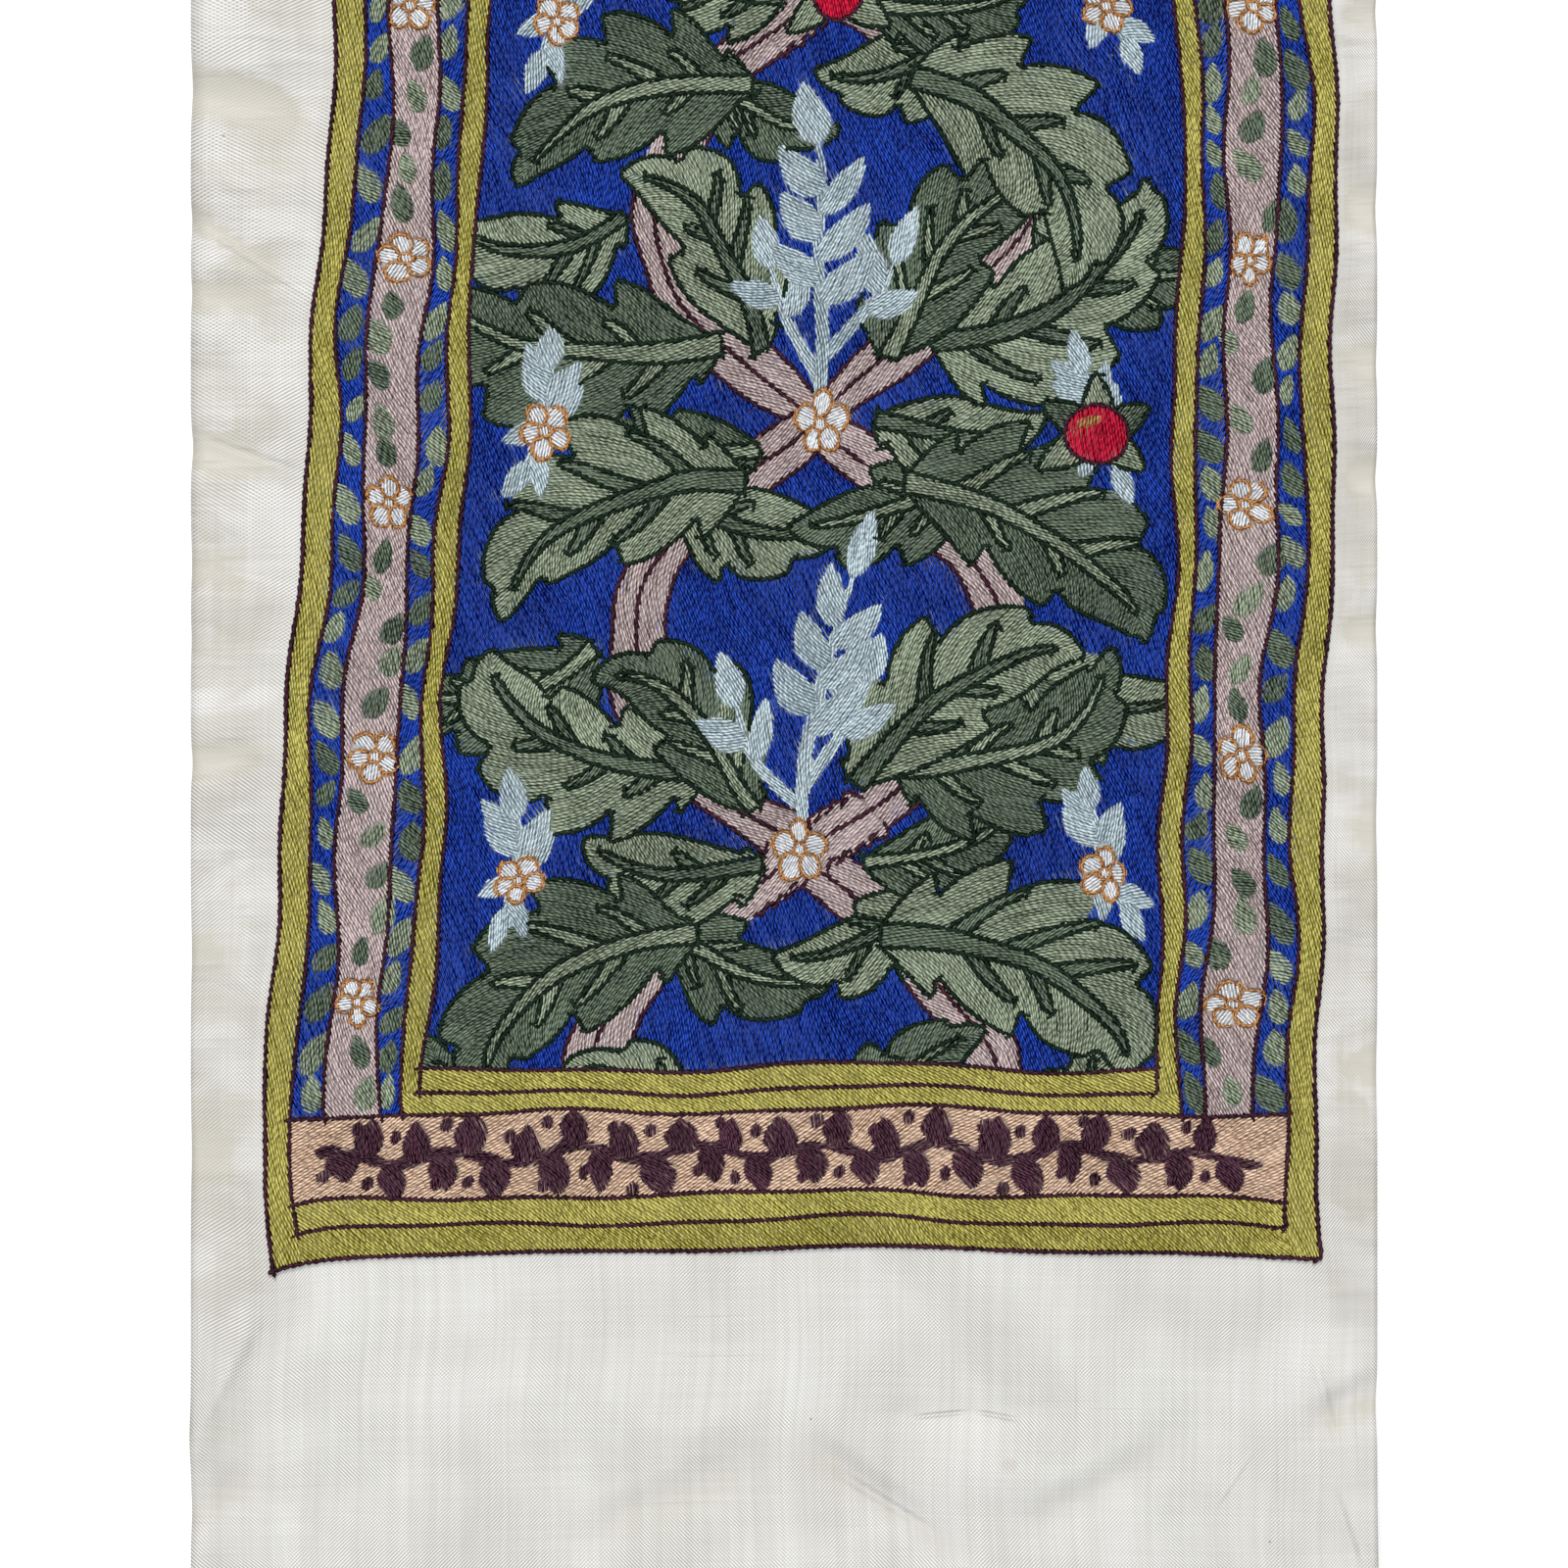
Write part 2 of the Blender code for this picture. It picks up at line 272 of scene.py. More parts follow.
# The drawing on the silk
# Before a stitch is made, the design is drawn on the cloth, and each shape is marked with its thread. Here
# the drawing is a plan of small cells, and each cell holds the number of the last shape drawn over it.
CELL = 0.15
plan = np.zeros((round(PANEL_LENGTH / CELL), round(PANEL_WIDTH / CELL)), np.int16)
threads = {}
areas = []
outlines = []
# A thread's first colour is painted shade deep between its stitches, and its second is painted light on its
# fibres.
Thread = namedtuple("Thread", "gaps fibres slot")
Area = namedtuple("Area", "thread path slant reach length")
Outline = namedtuple("Outline", "thread points order")
dice = np.random.default_rng(11)


def thread(name, gaps, fibres, slot):
    """Names a thread by its painted shade between stitches, its painted light on fibres, and its slot."""
    threads[name] = Thread(gaps, fibres, slot)


class Path:
    """A line that stitches follow: a place on it is s millimetres along it and t millimetres to its left."""

    BEYOND = 30.0

    def __init__(self, points):
        """The line runs on straight past both of its ends."""
        points = np.asarray(points, float)
        first = points[0] - points[1]
        last = points[-1] - points[-2]
        first *= self.BEYOND / np.hypot(*first)
        last *= self.BEYOND / np.hypot(*last)
        self.points = np.vstack([points[0] + first, points, points[-1] + last])
        gaps = np.diff(self.points, axis=0)
        self.run = np.concatenate([[0.0], np.cumsum(np.hypot(*gaps.T))]) - self.BEYOND
        self.length = self.run[-1] - self.BEYOND
        turn = np.unwrap(np.arctan2(gaps[:, 1], gaps[:, 0]))
        self.turn = np.concatenate([turn[:1], (turn[1:] + turn[:-1]) / 2, turn[-1:]])

    def heading(self, s):
        return np.interp(s, self.run, self.turn)

    def at(self, s, t=0.0):
        x = np.interp(s, self.run, self.points[:, 0]) - t * np.sin(self.heading(s))
        y = np.interp(s, self.run, self.points[:, 1]) + t * np.cos(self.heading(s))
        return np.stack([x, y], -1)

    def band(self, start, end, half_width, count=40):
        """The ring round a strip of this path. half_width is a number, or works from the share along it."""
        share = np.linspace(0.0, 1.0, count)
        s = start + (end - start) * share
        w = half_width(share) if callable(half_width) else np.full(count, half_width)
        return np.vstack([self.at(s, w), self.at(s[::-1], -w[::-1])])


def arc(base, heading, length, bend, count=25):
    """A path that starts at base and turns evenly by bend degrees over its length."""
    heading, bend = np.radians(heading), np.radians(bend) + 1e-6
    s = np.linspace(0.0, length, count)
    curve = bend / length
    x = (np.sin(heading + curve * s) - np.sin(heading)) / curve
    y = (np.cos(heading) - np.cos(heading + curve * s)) / curve
    return Path(np.stack([base[0] + x, base[1] + y], -1))


def inside(ring):
    """The cells that a closed ring holds: the lowest row, the leftmost column and a mask from there."""
    ring = (ring + (HALF_PANEL, PANEL_LENGTH / 2)) / CELL - 0.5
    rows, columns = plan.shape
    left, low = np.floor(ring.min(0)).astype(int)
    right, high = np.ceil(ring.max(0)).astype(int) + 1
    left, right = np.clip((left, right), 0, columns)
    low, high = np.clip((low, high), 0, rows)
    y = np.arange(low, high)
    a, b = ring, np.roll(ring, -1, axis=0)
    edge, row = np.nonzero((a[:, None, 1] <= y) != (b[:, None, 1] <= y))
    x = a[edge, 0] + (y[row] - a[edge, 1]) * (b[edge, 0] - a[edge, 0]) / (b[edge, 1] - a[edge, 1])
    column = np.clip(np.ceil(x).astype(int) - left, 0, right - left)
    crossings = np.zeros((len(y), right - left + 1), int)
    np.add.at(crossings, (row, column), 1)
    return low, left, np.cumsum(crossings, axis=1)[:, :-1] % 2 == 1


def draw(name, ring, path=None, slant=0.0, length=3.2, reach=None):
    """Marks a closed ring for one thread, whose stitches lie at slant degrees to the path."""
    ring = np.asarray(ring, float)
    if path is None:
        low, high = ring.min(0), ring.max(0)
        middle = (low[0] + high[0]) / 2
        path = Path([(middle, low[1]), (middle, high[1])])
        reach = (high[0] - low[0]) / 2
    low, left, mask = inside(ring)
    areas.append(Area(name, path, slant, reach, length))
    marked = plan[low : low + mask.shape[0], left : left + mask.shape[1]]
    marked[mask] = len(areas)


def outline(name, points, closed=False):
    """Marks a line for outline stitches. What is drawn over it later hides it there."""
    points = np.asarray(points, float)
    if closed:
        points = np.vstack([points, points[:1]])
    outlines.append(Outline(name, points, len(areas)))


def cells_at(u, v):
    """The plan's number at each place, or 0 off the panel."""
    column = np.floor((u + HALF_PANEL) / CELL).astype(int)
    row = np.floor((v + PANEL_LENGTH / 2) / CELL).astype(int)
    rows, columns = plan.shape
    off = (column < 0) | (column >= columns) | (row < 0) | (row >= rows)
    return np.where(off, 0, plan[np.clip(row, 0, rows - 1), np.clip(column, 0, columns - 1)])


# Blue ground
# The field behind the plants is filled solid in one blue thread, worked in short slanting stitches from side
# to side, so its rows run on behind every leaf.
SIDE_BANDS = (6.1, 6.5, 11.3, 5.7, 4.8)
END_BANDS = (6.1, 5.9, 18.4, 4.4, 5.1)
side_at = HALF_PANEL - np.cumsum((0.0,) + SIDE_BANDS)
end_at = PANEL_LENGTH / 2 - np.cumsum((0.0,) + END_BANDS)
field_right, field_top = side_at[-1], end_at[-1]
BLUE = ((0.001, 0.003, 0.06), (0.026, 0.090, 0.58), "blue_thread")
thread("ground_blue", *BLUE)
thread("border_blue", *BLUE)


def box(left, low, right, high):
    return np.array([(left, low), (right, low), (right, high), (left, high)])


draw("ground_blue", box(-field_right, -field_top, field_right, field_top), slant=27.0, length=3.4)

# Vines
# Two mauve stems sway past each other up the field and cross at its middle line. Each is stitched along its
# length, split by one dark line and held between two more, and they take turns to pass on top.
CROSSINGS = 4
VINE_SWAY, VINE_WIDTH, VINE_PATCH = 41.0, 10.4, 16.0
vine_period = 2 * field_top / CROSSINGS
thread("mauve", (0.21, 0.15, 0.148), (0.74, 0.62, 0.61), "mauve_thread")
thread("plum", (0.010, 0.003, 0.006), (0.130, 0.050, 0.080), "plum_thread")
# The lines are in the same plum thread as the fills, with its colours darkened as painted shade on the thin
# lines.
thread("plum_line", (0.010, 0.003, 0.006), (0.080, 0.024, 0.040), "plum_thread")


def vine(side):
    """One stem, which sways and strays a little, as drawn by hand."""
    v = np.linspace(-field_top - 4.0, field_top + 4.0, 220)
    sway = VINE_SWAY * np.cos(np.pi * (v + field_top) / vine_period)
    sway += 2.4 * np.sin(v / 17.0 + side) + 1.2 * np.sin(v / 7.3 + 2.0 * side)
    return Path(np.stack([side * sway, v], -1))


def vine_half_width(share):
    return VINE_WIDTH / 2 * (1.0 + 0.14 * np.sin(share * 61.0) + 0.08 * np.sin(share * 143.0))


def stitch_vine(path, start, end, count=160):
    ring = path.band(start, end, vine_half_width, count)
    draw("mauve", ring, path, slant=17.0, length=3.4, reach=VINE_WIDTH / 2 + 1.5)
    outline("plum_line", ring[:count])
    outline("plum_line", ring[count:])
    outline("plum_line", path.at(np.linspace(start, end, count), 0.4))


def crossing_height(number):
    return (number + 0.5) * vine_period - field_top


left_vine, right_vine = vine(-1), vine(1)
stitch_vine(left_vine, 0.0, left_vine.length)
stitch_vine(right_vine, 0.0, right_vine.length)
for crossing in range(0, CROSSINGS, 2):
    at_crossing = np.interp(crossing_height(crossing), left_vine.points[:, 1], left_vine.run)
    stitch_vine(left_vine, at_crossing - VINE_PATCH, at_crossing + VINE_PATCH)

# Leaves
# Big toothed leaves in two greens fill the cells between the stems. The blade is worked in two halves that
# slant away from the rib. The rib and its side veins are in the other green, and all are edged in a green
# that is nearly black.
thread("light_sage", (0.050, 0.064, 0.042), (0.455, 0.535, 0.385), "light_sage_thread")
thread("dark_sage", (0.013, 0.022, 0.014), (0.212, 0.275, 0.195), "dark_sage_thread")
thread("deep_green", (0.002, 0.006, 0.003), (0.016, 0.034, 0.020), "deep_green_thread")
TOOTH = 0.40
BLADE_SLANT, RIB_SLANT, VEIN_SLANT = 34.0, 12.0, 14.0
WIDER_SIDE, NARROWER_SIDE = 1.14, 0.86
WIDER_VEINS, NARROWER_VEINS = (0.16, 0.36, 0.56), (0.26, 0.50)
VEIN_ANGLE, VEIN_CURL = 42.0, 25.0
LONG_LEAF = 45.0


def sweep(base, heading, length, bend, hook, count=60):
    """A path that bends evenly and then curls by hook degrees more towards its end."""
    share = (np.arange(count) + 0.5) / count
    turn = np.radians(heading + bend * share + hook * share ** 4)
    steps = np.stack([np.cos(turn), np.sin(turn)], -1) * length / count
    return Path(np.vstack([base, base + np.cumsum(steps, axis=0)]))


def leaf_edge(width, lobes=0, belly=0.78, first=0.3):
    """Half the leaf's width at each share of its length. Its lobes swell and then step back to a notch."""
    def edge(share):
        full = np.sin(np.pi * np.clip(share, 0.0, 1.0) ** belly) ** 0.8
        lobe = (share * lobes + first) % 1.0 if lobes else 1.0
        return width / 2 * full * (1.0 - TOOTH * (1.0 - lobe) ** 2) + 0.15
    return edge


def vein_edge(half_width):
    """Half the width of a rib or vein, which narrows to its tip."""
    return lambda share: half_width * (1.0 - share) ** 0.5 + 0.3


def leaf(base, heading, length, width, bend, hook, dark, lobes):
    """The side away from the bend is the wider one, with more lobes and longer veins."""
    blade, rib = ("dark_sage", "light_sage") if dark else ("light_sage", "dark_sage")
    path = sweep(np.asarray(base), heading, length, bend, hook)
    outer = -1 if bend > 0 else 1
    share = np.linspace(0.0, 1.0, 120)
    edges = {}
    for side in (outer, -outer):
        wide, count = (WIDER_SIDE, lobes) if side == outer else (NARROWER_SIDE, max(1, lobes - 2))
        edges[side] = leaf_edge(width * wide, count, dice.uniform(0.68, 0.9), dice.random())
        margin = path.at(share * length, side * edges[side](share))
        half = np.vstack([path.at(share * length), margin[::-1]])
        draw(blade, half, path, slant=side * BLADE_SLANT, length=3.4, reach=width * 0.6 + 2.0)
    margins = [path.at(share * length, side * edges[side](share)) for side in (1, -1)]
    outline("deep_green", np.vstack([margins[0], margins[1][::-1]]), closed=True)
    for side, places in ((outer, WIDER_VEINS), (-outer, NARROWER_VEINS)):
        for place in places[: 3 if length > LONG_LEAF else 2 if side == outer else 1]:
            along = (place + dice.uniform(-0.03, 0.03)) * length
            reach = edges[side](np.array([place + 0.14]))[0] * dice.uniform(0.95, 1.15)
            heading = np.degrees(path.heading(along)) + side * VEIN_ANGLE
            vein = sweep(path.at(along), heading, reach, 0.0, -side * VEIN_CURL, 14)
            ring = vein.band(0.0, vein.length, vein_edge(0.036 * width + 0.25), 14)
            draw(rib, ring, vein, slant=VEIN_SLANT, length=2.8, reach=2.5)
            outline("deep_green", ring)
    ring = path.band(0.0, length * 0.9, vein_edge(0.05 * width + 0.3), 50)
    draw(rib, ring, path, slant=RIB_SLANT, length=3.2, reach=4.0)
    outline("deep_green", ring, closed=True)


# x and height of the base over a crossing, heading, length, width, bend, hook, dark or light, lobes
LEAVES = (
    (44.0, 45.0, -30.0, 44.0, 23.0, 50.0, 40.0, False, 4),
    (30.0, 78.0, 218.0, 38.0, 21.0, -26.0, -30.0, True, 3),
    (12.0, -2.0, -4.0, 38.0, 20.0, 26.0, 40.0, True, 3),
    (22.0, 19.0, 2.0, 66.0, 34.0, 46.0, 60.0, True, 5),
    (19.0, -16.0, -2.0, 64.0, 34.0, -48.0, -50.0, False, 5),
    (12.0, 12.0, 62.0, 56.0, 27.0, -24.0, -60.0, False, 4),
)


def mirrored(side, heading):
    """A heading as it is on the right, or as a mirror in the middle line has it on the left."""
    return heading if side > 0 else 180.0 - heading


# Sprigs
# Between each pair of tall leaves stands a pale blue sprig, a thin stem with paired pointed leaflets, worked
# without outlines straight on the ground.
thread("pale_blue", (0.18, 0.245, 0.28), (0.69, 0.80, 0.845), "pale_blue_thread")


def leaflet(name, base, heading, length, width, bend=0.0, slant=20.0):
    """A small leaf with a plain edge."""
    path = arc(base, heading, length, bend, 9)
    ring = path.band(0.0, length, leaf_edge(width), 16)
    draw(name, ring, path, slant=slant, length=2.8, reach=width / 2 + 0.5)


def sprig(base, heading, length, bend, pairs, size=14.0, bare=0.26):
    """A stem with pairs of leaflets up it, after a bare share of its length."""
    path = arc(base, heading, length, bend)
    draw("pale_blue", path.band(0.0, length, vein_edge(1.4)), path, slant=8.0, length=3.0, reach=2.5)
    for number in range(pairs):
        along = length * (bare + (0.92 - bare) * number / pairs)
        grown = size * (1.0 - 0.12 * number / pairs)
        for side in (1, -1):
            lean = np.degrees(path.heading(along)) + side * (50.0 - 4.0 * number + dice.uniform(-8, 8))
            leaflet("pale_blue", path.at(along + 2.2 * side), lean, grown, grown * 0.46, -side * 18.0)
    leaflet("pale_blue", path.at(length - 1.5), np.degrees(path.heading(length)), size * 0.95, size * 0.48)


# Rosettes
# Small flowers of five white petals round a white eye. Each petal and the eye are ringed with an orange line
# and stand clear of each other on an orange ground.
thread("white", (0.45, 0.46, 0.48), (0.90, 0.92, 0.95), "white_thread")
thread("orange", (0.19, 0.075, 0.022), (0.68, 0.36, 0.15), "orange_thread")
ROSETTE = 10.6


def ellipse(centre, along, across, heading, count=16):
    turn = np.linspace(0.0, 2 * np.pi, count, endpoint=False)
    heading = np.radians(heading)
    x, y = along / 2 * np.cos(turn), across / 2 * np.sin(turn)
    return np.stack([centre[0] + x * np.cos(heading) - y * np.sin(heading),
                     centre[1] + x * np.sin(heading) + y * np.cos(heading)], -1)


def rosette(centre, size, turn):
    """Its petals are all a little different in place, size and turn."""
    centre = np.asarray(centre, float)
    whole = ellipse(centre, size * 0.74, size * 0.74, 0.0)
    draw("orange", whole, length=1.8, slant=30.0)
    for petal in range(5):
        heading = turn + 72.0 * petal + dice.uniform(-9, 9)
        out = np.array([np.cos(np.radians(heading)), np.sin(np.radians(heading))])
        middle = centre + out * size * dice.uniform(0.28, 0.34)
        along, across = size * dice.uniform(0.40, 0.46), size * dice.uniform(0.36, 0.46)
        rim = ellipse(middle, along + 0.9, across + 0.9, heading + dice.uniform(-30, 30))
        draw("orange", rim, length=1.6)
        spoke = Path([middle - out * size * 0.25, middle + out * size * 0.25])
        ring = ellipse(middle, along - 0.3, across - 0.3, heading)
        draw("white", ring, spoke, slant=0.0, length=2.4, reach=size * 0.25)
        outline("orange", ring, closed=True)
    ring = ellipse(centre, size * 0.25, size * 0.22, 0.0, 10)
    draw("white", ring, slant=10.0, length=1.8)
    outline("orange", ring, closed=True)


# Fruits
# A round red fruit on a star of sepals, ringed in plum, with one short orange glint. The sepals are worked
# first, in the two leaf greens, and the fruit over their roots.
thread("red", (0.18, 0.002, 0.010), (0.82, 0.018, 0.075), "red_thread")


def fruit(centre, size):
    centre = np.asarray(centre, float)
    for heading in (30.0, 90.0, 150.0, 215.0, 325.0):
        sepal = arc(centre, heading, size * 1.05, 0.0, 9)
        ring = sepal.band(0.0, sepal.length, leaf_edge(size * 0.5), 16)
        green = "dark_sage" if heading in (30.0, 150.0) else "light_sage"
        draw(green, ring, sepal, slant=20.0, length=2.8, reach=size * 0.3)
        outline("deep_green", ring, closed=True)
    ring = ellipse(centre, size, size, 0.0, 28)
    draw("red", ring, slant=12.0, length=3.0)
    outline("plum_line", ring, closed=True)
    draw("orange", ellipse(centre + (-0.14 * size, 0.2 * size), size * 0.42, size * 0.17, 20.0), length=2.0)


for crossing in range(-1, CROSSINGS + 1):
    height = crossing_height(crossing)
    for side in (-1, 1):
        for x, up, heading, length, width, bend, hook, dark, lobes in LEAVES:
            base = (side * x + dice.uniform(-2.5, 2.5), height + up + dice.uniform(-4, 4))
            grown = dice.uniform(0.88, 1.1)
            turned = mirrored(side, heading + dice.uniform(-13, 13))
            swapped = (crossing + (side > 0)) % 2 == 0
            bend, hook = side * bend * dice.uniform(0.7, 1.2), side * hook * dice.uniform(0.5, 1.3)
            leaf(base, turned, length * grown, width * grown, bend, hook, dark != swapped, lobes)
for crossing in range(-1, CROSSINGS + 1):
    height = crossing_height(crossing)
    for side in (-1, 1):
        beside = (side * (63.0 + dice.uniform(-3, 3)), height + dice.uniform(-6, 2))
        sprig(beside, 90.0 + side * dice.uniform(-6, 16), 15.0, side * dice.uniform(-20, 20), 2, 11.0)
        sprig(beside, mirrored(side, -64.0 + dice.uniform(-10, 10)), 9.0, 0.0, 1, 10.0)
        if side == (1 if crossing % 4 == 1 else -1) and crossing % 2:
            fruit(beside, 13.0)
        else:
            rosette(beside, ROSETTE, dice.uniform(0, 72))
for crossing in range(CROSSINGS):
    height = crossing_height(crossing)
    for lean, start, length, bare in ((44.0, 9.0, 29.0, 0.6), (-44.0, 13.0, 27.0, 0.6)):
        sprig((0.0, height + start), 90.0 + lean + dice.uniform(-5, 5), length, -lean * 0.6, 1, 13.0, bare)
    sprig((0.0, height + 5.0), 90.0 + dice.uniform(-5, 5), 56.0, dice.uniform(-14, 14), 3, 15.0, 0.40)
    if crossing % 4 == 2:
        fruit((dice.uniform(-1, 1), height), 14.0)
    else:
        rosette((dice.uniform(-1, 1), height), 13.0, 20.0)

# Borders
# Olive bands frame the panel twice, with blue, mauve and blue strips between them up each side. A plum line
# parts each band from the next. The outermost band turns the corners, and so does the one by the field.
thread("olive", (0.18, 0.16, 0.018), (0.67, 0.61, 0.185), "olive_thread")
strip_names = ("olive", "border_blue", "mauve", "border_blue", "olive")
strip_slants = (17.0, 30.0, 30.0, -24.0, 20.0)
for side in (-1, 1):
    for number, name in enumerate(strip_names):
        outer, inner = side * side_at[number], side * side_at[number + 1]
        top = PANEL_LENGTH / 2 if number == 0 else end_at[3]
        strip = box(min(outer, inner), -top, max(outer, inner), top)
        draw(name, strip, slant=strip_slants[number], length=3.4 if name == "olive" else 3.0)

# Foot and head
# Each end has the two olive frames' cross bands, a peach ribbon between them, and one more olive band inside
# each frame.
thread("peach", (0.32, 0.20, 0.13), (0.95, 0.71, 0.54), "peach_thread")
end_names = ("olive", "olive", "peach", "olive", "olive")
end_slants = (-42.0, -38.0, 32.0, -36.0, -30.0)
half_spans = (side_at[1], side_at[1], side_at[1], side_at[4], side_at[5])
for end in (-1, 1):
    for number, name in enumerate(end_names):
        outer, inner = end * end_at[number], end * end_at[number + 1]
        low, high = min(outer, inner), max(outer, inner)
        span = half_spans[number]
        middle = Path([(-span, (low + high) / 2), (span, (low + high) / 2)])
        ring = box(-span, low, span, high)
        draw(name, ring, middle, slant=end_slants[number], length=3.4, reach=(high - low) / 2 + 0.5)

# Trailing leaves of the side strips
# Small leaves climb the blue strips one above the other and fall in loose groups down the mauve strip,
# between rosettes set at an even distance.
STRIP_REPEAT = 53.5
SMALL_LEAF = ("light_sage", "dark_sage", "dark_sage", "light_sage", "light_sage")
for side in (-1, 1):
    strip = side * (side_at[2] + side_at[3]) / 2
    rosettes = np.arange(-end_at[3] + 24.0, end_at[3] - 8.0, STRIP_REPEAT)
    for middle in np.append(-STRIP_REPEAT + rosettes[0], rosettes):
        for place in range(5):
            v = middle + 7.0 + (STRIP_REPEAT - 13.0) * (place + 0.5) / 5 + dice.uniform(-1.2, 1.2)
            if abs(v) < end_at[3] - 4.0:
                lean = dice.choice((-1, 1)) * dice.uniform(8, 40)
                size = dice.uniform(6.6, 9.0)
                base = (strip + dice.uniform(-3.0, 3.0), v - size / 2)
                green = ("dark_sage", "light_sage")[place % 2]
                leaflet(green, base, 90.0 + lean, size, size * 0.58, 0.0, 42.0)
    for middle in rosettes:
        rosette((strip + dice.uniform(-0.8, 0.8), middle), ROSETTE, dice.uniform(0, 72))
    for inner, outer in ((2, 1), (4, 3)):
        strip = side * (side_at[inner] + side_at[outer]) / 2
        v = -end_at[3] + 5.0
        number = dice.integers(5)
        while v < end_at[3] - 6.0:
            size = dice.uniform(7.0, 9.6)
            lean = dice.choice((-1, 1)) * dice.uniform(8, 34)
            base = (strip + 1.6 * np.sign(lean), v - size / 2)
            bend = dice.uniform(-20, 20)
            leaflet(SMALL_LEAF[number % 5], base, 90.0 + lean, size, size * 0.52, bend, 44.0)
            v += size * dice.uniform(1.0, 1.2)
            number += 1

# Ribbon's trail
# A plum stem waves along the ribbon with leaves on each side in turn and a bud between them. All are worked
# in solid thread with no outline, as bold as the border beside them.
WAVE_LENGTH, WAVE_HEIGHT = 26.4, 1.5
LEAF_STEP = 5.8
for end in (-1, 1):
    middle = end * (end_at[2] + end_at[3]) / 2
    reach = side_at[1] - 5.0
    u = np.linspace(-reach, reach, 300)
    wave = Path(np.stack([u, middle + WAVE_HEIGHT * np.sin(u * 2 * np.pi / WAVE_LENGTH)], -1))
    ring = wave.band(0.0, wave.length, lambda share: 1.2 + 0.3 * np.sin(share * 150.0), 300)
    draw("plum", ring, wave, slant=16.0, length=3.0, reach=2.2)
    for number, run in enumerate(np.arange(3.0, wave.length - 5.0, LEAF_STEP)):
        rise = 1 if number % 2 else -1
        size = 8.8 * dice.uniform(0.9, 1.08)
        leaflet("plum", wave.at(run), rise * 58.0 + dice.uniform(-7, 7), size, 6.2, rise * 40.0, 34.0)
        bud = wave.at(run - 2.6, rise * dice.uniform(5.4, 6.2))
        draw("plum", ellipse(bud, 3.2, 2.5, 60.0), length=2.0)

# Border lines
# The plum lines that part the bands, worked last over their edges, in the same thread as the lines of
# the stems: plum, darkened as painted shade on these thin lines.
LINE_STEP = 0.5


def ruled(left, low, right, high):
    """The rectangle as a closed line with points close enough together to be drawn by hand."""
    corners = np.array([(left, low), (right, low), (right, high), (left, high), (left, low)], float)
    sides = []
    for start, end in zip(corners, corners[1:]):
        sides.append(np.linspace(start, end, int(max(abs(end - start)) / LINE_STEP) + 2)[:-1])
    return np.vstack(sides + [corners[:1]])


outline("plum_line", ruled(-side_at[0], -end_at[0], side_at[0], end_at[0]))
outline("plum_line", ruled(-side_at[1], -end_at[1], side_at[1], end_at[1]))
outline("plum_line", ruled(-side_at[5], -end_at[4], side_at[5], end_at[4]))
for sign in (-1, 1):
    for number, span in ((2, side_at[1]), (3, side_at[1]), (5, side_at[5])):
        level = np.arange(-span, span, LINE_STEP)
        outline("plum_line", np.stack([level, 0 * level + sign * end_at[number]], -1))
    for number in (2, 3, 4):
        upright = np.arange(-end_at[3], end_at[3], LINE_STEP)
        outline("plum_line", np.stack([0 * upright + sign * side_at[number], upright], -1))

# Filling stitches
# Each shape is filled with rows of straight stitches, a strand pair wide and a few millimetres long. The
# ends are staggered from row to row, and no two stitches are quite alike in length, height or shade.
THREAD_WIDTH, THREAD_PITCH, THREAD_HEIGHT = 0.70, 0.63, 0.42
STITCH_BASE = WORKED_THICK - 0.06
STEP = 0.2
SHORTEST, OVERLAP, PAST_SHAPE = 0.55, 0.36, 1.0
LEAST_PART, STAGGER = 0.35, 0.28
ROW_STRAY, BASE_STRAY = 0.05, (-0.03, 0.05)
FILLING_UNEVENNESS, FILLING_ROLL = 0.16, 0.30
SIDE_END, RIDGE_END, TIP_HEIGHT = 0.33, 0.27, 0.45


def row_drift(p, number):
    """Rows are judged by eye, so they wander sideways a little as they go."""
    return 0.5 * np.sin(p / 7.0 + number) + 0.9 * np.sin(p / 23.0 + 2.0 * number)


